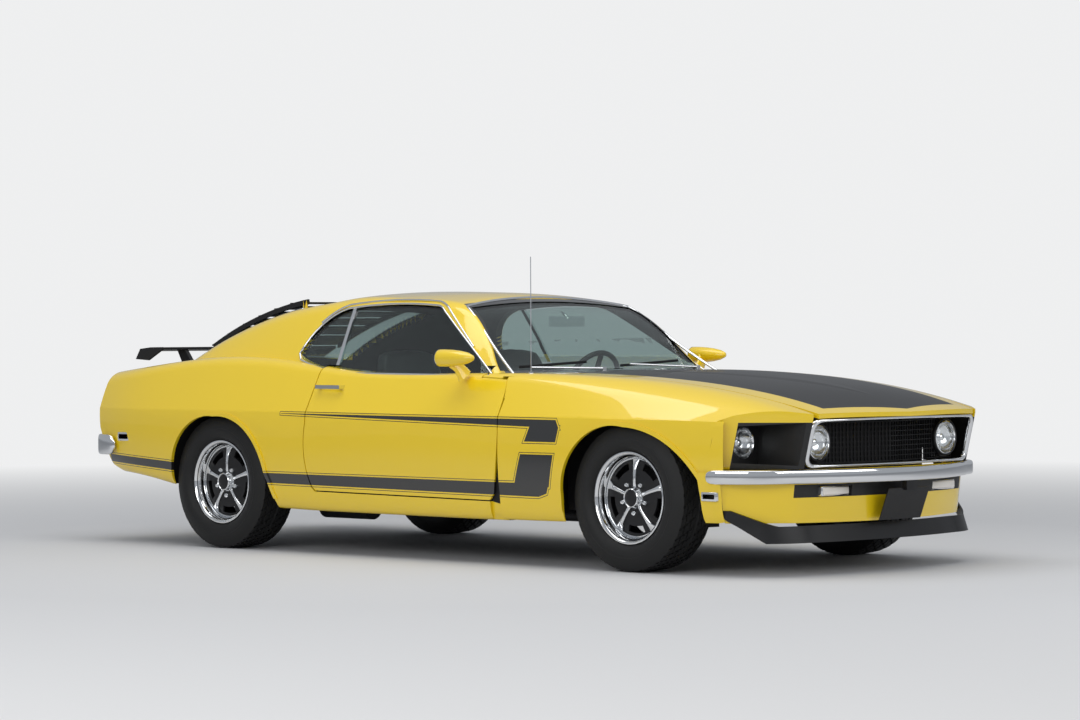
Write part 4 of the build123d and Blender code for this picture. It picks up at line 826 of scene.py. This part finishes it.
# ---- Wheels and tyres ---------------------------------------------------------------------
AXLES = (("front", 1.427), ("rear", -1.316))
HALF_TRACK = 0.7555
AXLE_Z = 0.333
SPOKE_ANGLES = [90.0 + 72.0 * k for k in range(5)]
# Profiles are pairs of a radius and a distance outwards from the wheel's middle plane.
BARREL = [(0.196, 0.074), (0.203, 0.084), (0.2085, 0.088), (0.2095, 0.094), (0.2075, 0.0995), (0.202, 0.1005),
          (0.1965, 0.0975), (0.1925, 0.091), (0.189, 0.083), (0.1855, 0.078), (0.184, 0.060), (0.182, 0.043),
          (0.179, 0.0405), (0.178, 0.046), (0.1765, 0.0485), (0.173, 0.049), (0.1715, 0.046), (0.170, 0.036)]
INNER_BARREL = [(0.170, 0.036), (0.168, -0.040), (0.184, -0.094), (0.206, -0.098), (0.206, -0.092),
                (0.190, -0.088)]
PANEL = [(0.172, 0.038), (0.160, 0.043), (0.150, 0.0455), (0.140, 0.0475), (0.128, 0.049), (0.112, 0.050),
         (0.095, 0.051), (0.078, 0.052), (0.064, 0.053), (0.048, 0.054)]
CAP_RING = [(0.052, 0.052), (0.0515, 0.062), (0.049, 0.066), (0.0455, 0.078), (0.043, 0.086), (0.0395, 0.0885),
            (0.0365, 0.086), (0.0355, 0.083)]
CAP_FACE = [(0.0365, 0.082), (0.030, 0.0845), (0.018, 0.086), (0.006, 0.0865), (0.0, 0.0865)]
TREAD_RIBS = [(-0.098, -0.074), (-0.068, -0.040), (-0.034, -0.006),
              (0.006, 0.034), (0.040, 0.068), (0.074, 0.098)]
TREAD_STEPS = 160
TREAD_HALF = 0.098
TREAD_DROP = 0.0045
GROOVE_DEPTH = 0.007
SHOULDER = (0.3265, 0.0992)


def tread_radius(y):
    return AXLE_Z - TREAD_DROP * (y / TREAD_HALF) ** 2


def tyre_profile():
    """Half of a tyre's section is mirrored: bead, sidewall, shoulder, then ribs and grooves."""
    wall = [(0.1905, 0.086), (0.1910, 0.0905), (0.2105, 0.0925), (0.214, 0.0975), (0.222, 0.1075),
            (0.234, 0.1155), (0.248, 0.1205), (0.262, 0.1215), (0.2675, 0.1205), (0.2695, 0.1215),
            (0.278, 0.1200), (0.291, 0.1165), (0.304, 0.1110), (0.314, 0.1060), (0.3215, 0.1020)]
    profile = wall + [SHOULDER]
    for low, high in reversed(TREAD_RIBS):
        profile += [(tread_radius(high), high), (tread_radius(0.5 * (low + high)), 0.5 * (low + high)),
                    (tread_radius(low), low)]
        if low > -0.09:
            floor_radius = tread_radius(low) - GROOVE_DEPTH
            profile += [(floor_radius, low - 0.001), (floor_radius, low - 0.005)]
    return profile + [(r, -y) for r, y in reversed(wall + [SHOULDER])]


def make_tyre(end, side, x, out):
    """A tyre with four grooves and staggered cross grooves between its blocks."""
    shape = bmesh.new()
    centre = Vector((x, out * HALF_TRACK, AXLE_Z))
    spin_profile(shape, tyre_profile(), centre, "y", out, TREAD_STEPS)
    cut = []
    for face in shape.faces:
        place = face.calc_center_median() - centre
        radius = hypot(place.x, place.z)
        across = place.y * out
        rib = next((k for k, (low, high) in enumerate(TREAD_RIBS)
                    if low - 0.001 < across < high + 0.001), None)
        if rib is None or radius < SHOULDER[0]:
            continue
        step = int((atan2(place.z, place.x) % (2 * pi)) / (2 * pi) * TREAD_STEPS)
        slant = 1 if across > 0.5 * sum(TREAD_RIBS[rib]) else 0
        if (step + 2 * rib + slant) % 4 == 0:
            cut.append(face)
    made = bmesh.ops.extrude_face_region(shape, geom=cut)["geom"]
    for vertex in [item for item in made if isinstance(item, bmesh.types.BMVert)]:
        place = vertex.co - centre
        scale = 1.0 - 0.6 * GROOVE_DEPTH / hypot(place.x, place.z)
        vertex.co = centre + Vector((place.x * scale, place.y, place.z * scale))
    bmesh.ops.delete(shape, geom=cut, context="FACES")
    piece = add_piece(f"road_tyre_{end}_{side}", shape, rubber, f"wheel_{end}_{side}_body")
    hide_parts(f"tyre_{end}_{side}")


def polar(centre, out, radius, degrees, depth):
    angle = radians(degrees)
    return Vector((centre[0] + radius * cos(angle), centre[1] + out * depth, centre[2] + radius * sin(angle)))


def make_wheel(end, side, x, out):
    """Chromed rim and spokes over black panels, with a plain cap and five nuts."""
    centre = Vector((x, out * HALF_TRACK, AXLE_Z))
    body = f"wheel_{end}_{side}_body"
    bright = bmesh.new()
    spin_profile(bright, BARREL, centre, "y", out, 128)
    spin_profile(bright, CAP_RING, centre, "y", out, 64)
    for angle in SPOKE_ANGLES:
        stations = []
        for radius, width, height, depth in ((0.046, 0.020, 0.010, 0.056), (0.070, 0.016, 0.014, 0.057),
                                             (0.105, 0.017, 0.016, 0.0555), (0.135, 0.021, 0.015, 0.053),
                                             (0.158, 0.030, 0.012, 0.048), (0.174, 0.044, 0.008, 0.0435)):
            stations.append((polar(centre, out, radius, angle, depth), width, height))
        loft_bar(bright, stations, up=(0.0, out, 0.0), power=0.8, sides=12)
        nut = polar(centre, out, 0.070, angle + 36.0, 0.050)
        spin_profile(bright, [(0.0115, 0.0), (0.0115, 0.012), (0.0100, 0.019), (0.0065, 0.024), (0.0, 0.026)],
                     nut, "y", out, 18)
    rim = add_piece(f"bright_rim_{end}_{side}", bright, chrome, body)
    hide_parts(f"rim_{end}_{side}")
    dark = bmesh.new()
    spin_profile(dark, PANEL, centre, "y", out, 120)
    slots = []
    for face in dark.faces:
        place = face.calc_center_median() - centre
        angle = (atan2(place.z, place.x) * 180 / pi - 90.0 - 36.0) % 72.0
        off = min(angle, 72.0 - angle)
        if 0.128 < hypot(place.x, place.z) < 0.160 and off < 17.0:
            slots.append(face)
    made = bmesh.ops.extrude_face_region(dark, geom=slots)["geom"]
    wall = [item for item in made if isinstance(item, bmesh.types.BMVert)]
    bmesh.ops.translate(dark, verts=wall, vec=(0.0, -out * 0.012, 0.0))
    floor_faces = [item for item in made if isinstance(item, bmesh.types.BMFace)]
    bmesh.ops.delete(dark, geom=floor_faces + slots, context="FACES")
    spin_profile(dark, CAP_FACE, centre, "y", out, 48)
    spin_profile(dark, INNER_BARREL, centre, "y", out, 72)
    panels = add_piece(f"wheel_panels_{end}_{side}", dark, satin_black, body)


# ---- Lamps --------------------------------------------------------------------------------
LAMP_Z = 0.586
LAMPS = (("inner", 2.214, 0.465), ("outer", 1.987, 0.712))
LAMP_LENS = [(0.0, -0.002), (0.022, -0.0034), (0.044, -0.0078), (0.060, -0.0128),
             (0.0695, -0.0170), (0.0700, -0.0195)]
LAMP_BOWL = [(0.0690, -0.022), (0.066, -0.030), (0.056, -0.042),
             (0.040, -0.053), (0.022, -0.059), (0.0, -0.061)]
LAMP_RING = [(0.0685, -0.0190), (0.0695, -0.0125), (0.0720, -0.0095), (0.0755, -0.0105), (0.0775, -0.0150),
             (0.0785, -0.0240), (0.0785, -0.034), (0.0700, -0.036)]
LAMP_BULB = [(0.0165, -0.058), (0.0165, -0.032), (0.012, -0.028), (0.0, -0.026)]
LAMP_POD = [(0.079, -0.012), (0.083, -0.010), (0.0865, -0.013),
            (0.0885, -0.024), (0.0885, -0.080), (0.079, -0.080)]


def make_headlamps():
    """Each lamp has a clear domed lens, a bright bowl with its bulb shield, and a bright ring."""
    lenses, bowls, rings, pods = (bmesh.new() for _ in range(4))
    for kind, x, y in LAMPS:
        for _, out in SIDES:
            centre = Vector((x, out * y, LAMP_Z))
            spin_profile(lenses, LAMP_LENS, centre, "x", 1.0, 64)
            spin_profile(bowls, LAMP_BOWL, centre, "x", 1.0, 64)
            spin_profile(bowls, LAMP_BULB, centre, "x", 1.0, 32)
            spin_profile(rings, LAMP_RING, centre, "x", 1.0, 64)
            if kind == "inner":
                spin_profile(pods, LAMP_POD, centre, "x", 1.0, 64)
    bmesh.ops.solidify(lenses, geom=lenses.faces[:], thickness=0.0025)
    lens = add_piece("headlamp_lenses", lenses, lamp_glass, "chassis")
    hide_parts("headlamps")
    add_piece("headlamp_bowls", bowls, reflector, "chassis")
    add_piece("headlamp_rings", rings, chrome, "chassis")
    add_piece("headlamp_pods", pods, satin_black, "chassis")


# ---- Bumpers ------------------------------------------------------------------------------
def blade_stations(plan, z, depth, height):
    """Stations of a bumper blade along its front edge, drawn down to round tips."""
    points = [Vector((x, y, z)) for x, y in plan]
    run = [0.0]
    for a, b in zip(points, points[1:]):
        run.append(run[-1] + (b - a).length)
    stations = []
    for index, place in enumerate(points):
        edge = min(run[index], run[-1] - run[index])
        share = 1.0 if edge > 0.05 else 0.25 + 0.75 * (1.0 - (1.0 - edge / 0.05) ** 2) ** 0.5
        a = points[max(index - 1, 0)]
        b = points[min(index + 1, len(points) - 1)]
        inward = (b - a).normalized().cross(Vector((0.0, 0.0, 1.0)))
        if inward.dot(Vector((place.x, place.y, 0.0))) > 0:
            inward = -inward
        stations.append((place + inward * depth / 2, depth * share, height * share))
    return stations


def make_bumpers():
    """Front and rear blades with the two brackets that carry each."""
    front = bmesh.new()
    plan = traced((1.896, -0.884), ((2.085, -0.815), (2.200, -0.640)), ((2.328, -0.330), (2.380, 0.0)),
                  ((2.328, 0.330), (2.200, 0.640)), ((2.085, 0.815), (1.896, 0.884)), pieces=14)
    tips = arc((1.896, -0.884), (2.085, -0.815), (2.200, -0.640), 60)[1:4]
    plan = plan[:1] + tips + plan[1:-1] + [(x, -y) for x, y in reversed(tips)] + plan[-1:]
    loft_bar(front, blade_stations(plan, 0.439, 0.026, 0.062), power=0.52, sides=28)
    for _, out in SIDES:
        bracket = [((x, out * 0.350, 0.4375), 0.024, 0.034) for x in (2.10, 2.305)]
        loft_bar(front, bracket, power=0.3, sides=16)
    blade = add_piece("front_blade", front, chrome, "chassis", 50.0)
    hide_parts("front_bumper")
    rear = bmesh.new()
    plan = traced((-2.125, -0.880), ((-2.270, -0.860), (-2.345, -0.760)), ((-2.380, 0.0), (-2.345, 0.760)),
                  ((-2.270, 0.860), (-2.125, 0.880)), pieces=16)
    loft_bar(rear, blade_stations(plan, 0.504, 0.030, 0.104), power=0.5, sides=28)
    for _, out in SIDES:
        bracket = [((x, out * 0.500, 0.500), 0.030, 0.060) for x in (-2.180, -2.350)]
        loft_bar(rear, bracket, power=0.3, sides=16)
    blade = add_piece("rear_blade", rear, chrome, "chassis", 50.0)
    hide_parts("rear_bumper")


# ---- Bright trim --------------------------------------------------------------------------
def on_side(skin, points, out, proud=0.0):
    """Points drawn in x and z, set on a side of the body and a little proud of it."""
    placed = []
    for x, z in points:
        found = skin.hit((x, out * 2.0, z), (0.0, -out, 0.0))
        if found:
            placed.append(tuple(found[0] + found[1] * proud))
    return placed


def on_top(skin, points, proud=0.0):
    found = [skin.hit((x, y, 3.0), (0.0, 0.0, -1.0)) for x, y in points]
    return [tuple(hit[0] + hit[1] * proud) for hit in found if hit]


def on_front(skin, points, proud=0.0):
    """Points drawn in y and z, set on the sloping windshield."""
    found = [skin.hit((3.0, y, z), (-1.0, 0.0, 0.0)) for y, z in points]
    return [tuple(hit[0] + hit[1] * proud) for hit in found if hit]


def window_line(grow):
    """The side windows' outline in x and z, grown outwards by a margin."""
    g = grow
    foot = (0.497 + g, 0.878 - g)
    return traced(foot, (0.040 + g, 1.174 + g), ((0.012, 1.194 + g), (-0.030, 1.204 + g)),
                  ((-0.330, 1.213 + g), (-0.640, 1.193 + g)), ((-0.770 - g, 1.130), (-0.868 - g, 0.975)),
                  (-0.840 - g, 0.948 - g), ((-0.600, 0.898 - g), (-0.340, 0.884 - g)), foot, pieces=8)


RAIL_FROM_X = -0.80
RAIL_FROM_Z = 0.990


def make_trim():
    """Window frames, drip rails, and the frames of windshield and rear window."""
    frame_runs = []
    rails = []
    for _, out in SIDES:
        frame_runs.append(on_side(upper_skin, window_line(0.004), out, 0.001))
        gutter = [(x, z) for x, z in window_line(0.020) if z > RAIL_FROM_Z and x > RAIL_FROM_X]
        rails.append(on_side(upper_skin, gutter, out, 0.004))
    trim_bar("side_window_frames", frame_runs, chrome, "chassis", 0.0052)
    trim_bar("drip_rails", rails, chrome, "chassis", 0.0050)
    shield = [SHIELD_FOOT.lerp(SHIELD_CORNER, k / 20) for k in range(21)]
    for k in range(1, 12):
        y = SHIELD_CORNER.y * (1.0 - k / 11)
        bow = (y / SHIELD_CORNER.y) ** 2
        point = SHIELD_TOP.lerp(SHIELD_CORNER, bow)
        shield.append(Vector((point.x, y, point.z)))
    placed = []
    for point in shield:
        _, normal, place = upper_skin.nearest(point, 0.2)
        placed.append(tuple(place + normal * 0.002))
    run = placed + [(x, -y, z) for x, y, z in reversed(placed[:-1])]
    trim_bar("windshield_frame", [run], chrome, "chassis", 0.0070)
    back = traced((-1.120, -0.470), (-1.850, -0.520), (-1.850, 0.520), (-1.120, 0.470), (-1.120, -0.470))
    trim_bar("backlight_frame", [on_top(upper_skin, back, 0.001)], chrome, "chassis", 0.0060)


# ---- Grille surround, bezels and small fittings --------------------------------------------
def nose_point(y, z, proud=0.0):
    """The front of the leaning, V-shaped nose at one place across and up."""
    return (2.366 - 0.0305 * abs(y) - 0.2043 * y * y - 0.2493 * (0.697 - z) + proud, y, z)


def rounded_loop(u0, u1, v0, v1, radius, pieces=6):
    """A rectangle with round corners, drawn anticlockwise."""
    points = []
    for u, v, start in ((u1 - radius, v1 - radius, 0.0), (u0 + radius, v1 - radius, 90.0),
                        (u0 + radius, v0 + radius, 180.0), (u1 - radius, v0 + radius, 270.0)):
        points += [(u + radius * cos(radians(start + 90.0 * k / pieces)),
                    v + radius * sin(radians(start + 90.0 * k / pieces))) for k in range(pieces + 1)]
    return points


def filled(points, step=0.05):
    """The same closed run with points added along its straights."""
    result = []
    for a, b in zip(points, points[1:] + points[:1]):
        parts = max(1, int(hypot(b[0] - a[0], b[1] - a[1]) / step))
        result += [(a[0] + (b[0] - a[0]) * k / parts, a[1] + (b[1] - a[1]) * k / parts) for k in range(parts)]
    return result


def make_grille_surround():
    """A bright moulding, thin above and below the mesh and broad at its rounded ends."""
    shape = bmesh.new()
    stations = []
    for y, z in filled(rounded_loop(-0.580, 0.580, 0.484, 0.684, 0.040)):
        ends = max(0.0, min(1.0, (abs(y) - 0.520) / 0.060))
        crown = 0.006 * (1.0 - (y / 0.58) ** 2) if z > 0.60 else 0.0
        size = 0.013 + 0.013 * ends
        stations.append((nose_point(y, z + crown, -0.010), size, 0.024))
    loft_bar(shape, stations, up=(1.0, 0.0, 0.0), power=0.75, sides=16, closed=True)
    piece = add_piece("grille_moulding", shape, chrome, "chassis", 60.0)
    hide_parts("grille_surround")


def lamp_block(shape, low, high, edge):
    """A lamp body as a box with rounded edges."""
    made = bmesh.ops.create_cube(shape, size=1.0)["verts"]
    size = Vector(high) - Vector(low)
    bmesh.ops.scale(shape, verts=made, vec=size)
    bmesh.ops.translate(shape, verts=made, vec=(Vector(high) + Vector(low)) / 2)
    edges = list({line for vertex in made for line in vertex.link_edges})
    bmesh.ops.bevel(shape, geom=edges, offset=edge, segments=3, affect="EDGES", profile=0.5, material=-1)


def make_marker_lamps():
    """Side markers and parking lamps, each in a bright frame."""
    inset = 0.007
    lenses = bmesh.new()
    frames = bmesh.new()
    for _, out in SIDES:
        for x0, x1, z0, z1, y in ((1.868, 1.955, 0.333, 0.374, 0.866), (-2.104, -2.013, 0.525, 0.570, 0.864)):
            near, far = sorted((out * (y - 0.030), out * (y + 0.006)))
            lens_far = far + (0.002 if out > 0 else 0.0)
            lamp_block(lenses, (x0 + inset, near, z0 + inset), (x1 - inset, lens_far, z1 - inset), 0.003)
            lamp_block(frames, (x0, near, z0), (x1, far, z1), 0.004)
        y0, y1 = sorted((out * 0.300, out * 0.480))
        lamp_block(lenses, (2.205, y0, 0.355), (2.244, y1, 0.389), 0.006)
        lamp_block(frames, (2.200, y0 - 0.005, 0.350), (2.238, y1 + 0.005, 0.394), 0.005)
    piece = add_piece("marker_lenses", lenses, marker_lens, "chassis", 60.0)
    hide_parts("marker_lamps")
    add_piece("marker_frames", frames, chrome, "chassis", 60.0)


def make_tail_bezels():
    """A bright frame around each of the six tail lamps."""
    tails = []
    for _, out in SIDES:
        for index in range(3):
            y = out * (0.380 + 0.105 * index)
            loop = rounded_loop(y - 0.042, y + 0.042, 0.673, 0.797, 0.008, 3)
            tails.append([(-2.315 + 0.02 * abs(v - 0.735), u, v) for u, v in loop])
    trim_bar("tail_lamp_bezels", tails, chrome, "chassis", 0.0045, closed=True)


def skin_panels(name, cells, span_z, edges, thickness, proud):
    """A thin painted panel on each side, laid on the lower body between two edges in x."""
    for side, out in SIDES:
        shape = bmesh.new()
        bmesh.ops.create_grid(shape, x_segments=cells[0], y_segments=cells[1], size=0.5)
        for vertex in shape.verts:
            u, v = vertex.co.x + 0.5, vertex.co.y + 0.5
            z = span_z[0] + v * (span_z[1] - span_z[0])
            back, front = edges(z)
            place, normal = lower_skin.hit((back + u * (front - back), out * 2.0, z), (0.0, -out, 0.0))
            vertex.co = place + normal * proud(u)
        bmesh.ops.solidify(shape, geom=shape.faces[:], thickness=thickness)
        add_piece(f"{name}_{side}", shape, yellow, "chassis", 50.0)


def make_small_panels():
    """The fender's lowest corner, its edge by the lamp housing, and the corner over the door's front."""
    skin_panels("fender_foot", (10, 14), (0.244, 0.460), lambda z: (1.850 + 0.10 * (0.430 - z), 1.966),
                0.003, lambda u: 0.0078 * (1.0 - u ** 6) - 0.0015)
    skin_panels("fender_tip", (4, 16), (0.458, 0.684), lambda z: (1.930 - 0.30 * max(0.0, 0.605 - z), 1.986),
                0.004, lambda u: -0.0006)
    skin_panels("cowl_corner", (4, 8), (0.776, 0.882), lambda z: (0.6535 - 0.30 * max(0.0, z - 0.785), 0.6625),
                0.004, lambda u: -0.0004)


def make_mirrors():
    """Bullet mirrors: an egg-shaped head with its glass, on a slim swept foot."""
    for side, out in SIDES:
        body = f"door_{side}_body"
        shape = bmesh.new()
        centre = Vector((0.293, out * 0.905, 0.958))
        head = [(0.0395, 0.000), (0.0405, 0.010), (0.0405, 0.040), (0.0385, 0.085), (0.0335, 0.135),
                (0.0250, 0.180), (0.0130, 0.210), (0.0, 0.221)]
        spin_profile(shape, head, centre, "x", 1.0, 40)
        foot = [((0.385, out * 0.838, 0.872), 0.085, 0.034), ((0.382, out * 0.852, 0.893), 0.070, 0.024),
                ((0.376, out * 0.872, 0.916), 0.058, 0.022), ((0.366, out * 0.892, 0.938), 0.070, 0.026)]
        loft_bar(shape, foot, up=(1.0, 0.0, 0.0), power=0.8, sides=20)
        piece = add_piece(f"bullet_mirror_{side}", shape, yellow, body, 50.0)
        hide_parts(f"mirror_{side}")
        glass = bmesh.new()
        face = [(0.0405, 0.001), (0.0405, -0.0015), (0.0375, -0.0015), (0.0370, 0.002), (0.0, 0.002)]
        spin_profile(glass, face, centre, "x", 1.0, 40)
        add_piece(f"mirror_glass_{side}", glass, mirror_glass, body, 30.0)


def make_wipers():
    """Rubber blades in satin black holders, parked along the foot of the windshield."""
    blades = []
    for y0, y1 in ((-0.660, -0.190), (0.020, 0.490)):
        line = [(y0 + (y1 - y0) * k / 8, 0.906 + 0.020 * k / 8) for k in range(9)]
        blades.append(on_front(upper_skin, line, 0.007))
    trim_bar("wiper_blades", blades, matte_black, "chassis", 0.0042)
    holders = [[(x, y, z + 0.006) for x, y, z in run] for run in blades]
    trim_bar("wiper_holders", holders, satin_black, "chassis", 0.0028)


# ---- Seats --------------------------------------------------------------------------------
def pad(shape, low, high, channels, lean=0.0, crown=0.018):
    """A crowned cushion with sewn channels across it; lean tips its top backwards."""
    before = len(shape.verts)
    made = bmesh.ops.create_cube(shape, size=1.0)["verts"]
    edges = list({edge for vertex in made for edge in vertex.link_edges})
    bmesh.ops.subdivide_edges(shape, edges=edges, cuts=11, use_grid_fill=True)
    shape.verts.ensure_lookup_table()
    verts = shape.verts[before:]
    size = Vector(high) - Vector(low)
    middle = (Vector(high) + Vector(low)) / 2
    for vertex in verts:
        u, v, w = (2.0 * value for value in vertex.co)
        a, b, c = 1.0 - u * u, 1.0 - v * v, 1.0 - w * w
        bulge = a * b + b * c + a * c
        corner = (abs(u) ** 8 + abs(v) ** 8 + abs(w) ** 8) ** 0.125
        groove = 0.007 * (abs(sin(pi * channels * (v + 1.0) / 2)) ** 0.35 - 1.0)
        place = Vector((u, v, w)) / max(corner, 1e-6)
        place = Vector((place.x * size.x / 2, place.y * size.y / 2, place.z * size.z / 2))
        outward = place.normalized()
        place = place * (1.0 - 0.10) + outward * (crown * min(bulge, 1.0) + groove)
        place.x -= lean * (place.z + size.z / 2)
        vertex.co = middle + place


# Each seat: its pads' place across, then cushion and back as x and z spans, half width and lean.
SEATS = (
    ("front_seat_pads", "front_seats", 0.375, 7,
     ((-0.425, 0.105, 0.325, 0.455, 0.225, 0.0), (-0.400, -0.305, 0.450, 1.000, 0.215, 0.235))),
    ("rear_seat_pads", "rear_seat", 0.280, 8,
     ((-0.995, -0.727, 0.475, 0.555, 0.275, 0.0), (-1.090, -1.008, 0.500, 0.770, 0.275, 0.10))),
)


def make_seats():
    for name, node, apart, channels, pads in SEATS:
        shape = bmesh.new()
        for x0, x1, z0, z1, half, lean in pads:
            for y in (-apart, apart):
                pad(shape, (x0, y - half, z0), (x1, y + half, z1), channels, lean)
        piece = add_piece(name, shape, vinyl, "chassis", 180.0)
        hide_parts(node)


# ---- Finishes of the frame's own nodes ----------------------------------------------------
def dress(node, material):
    """Give a frame node its finished material."""
    mesh = nodes[node].data
    mesh.materials.clear()
    mesh.materials.append(material)


def both(name):
    return [name + "_right", name + "_left"]


PAINTED = ["body_shell"] + both("fender") + both("door")
BLACK = ["deck_lid", "rear_spoiler", "rear_louvre", "chin_spoiler"]
CHROMED = ["window_divider", "cowl_fittings", "interior_mirror"] + both("door_handle")
GLASS = ["windshield", "rear_window", "quarter_glass"] + both("door_glass")
UNDER = ["front_structure", "front_suspension", "rear_axle", "drive_shaft", "engine_block",
         "radiator", "exhaust", "fuel_tank"] + both("knuckle")
CABIN = ["dashboard", "steering_column", "steering_wheel"]

set_camera()
set_world()
set_lights()
make_floor()
for names, finish in ((PAINTED, striped_yellow), (BLACK + ["front_plate"], satin_black), (CHROMED, chrome),
                      (GLASS, window_glass), (UNDER, iron), (CABIN, vinyl), (["hood"], hood_paint),
                      (["front_valance"], valance_paint_with_shade), (["lamp_housings"], recess_paint),
                      (["grille"], matte_black), (["tail_lamps"], red_lens)):
    for name in names:
        dress(name, finish)
for name in PAINTED + GLASS + BLACK + ["hood", "lamp_housings", "front_valance"]:
    finish_normals(name, (lower_skin, upper_skin))
for name in CHROMED + UNDER + CABIN + ["grille", "tail_lamps", "front_plate"]:
    finish_normals(name)
for name in PAINTED:
    darken_inside(name, (lower_skin, upper_skin), inner_black)
for end, x in AXLES:
    for side, out in SIDES:
        make_tyre(end, side, x, out)
        make_wheel(end, side, x, out)
make_headlamps()
make_bumpers()
make_trim()
make_grille_surround()
make_marker_lamps()
make_tail_bezels()
make_small_panels()
make_mirrors()
make_wipers()
make_seats()

bpy.context.scene.view_settings.view_transform = "Standard"
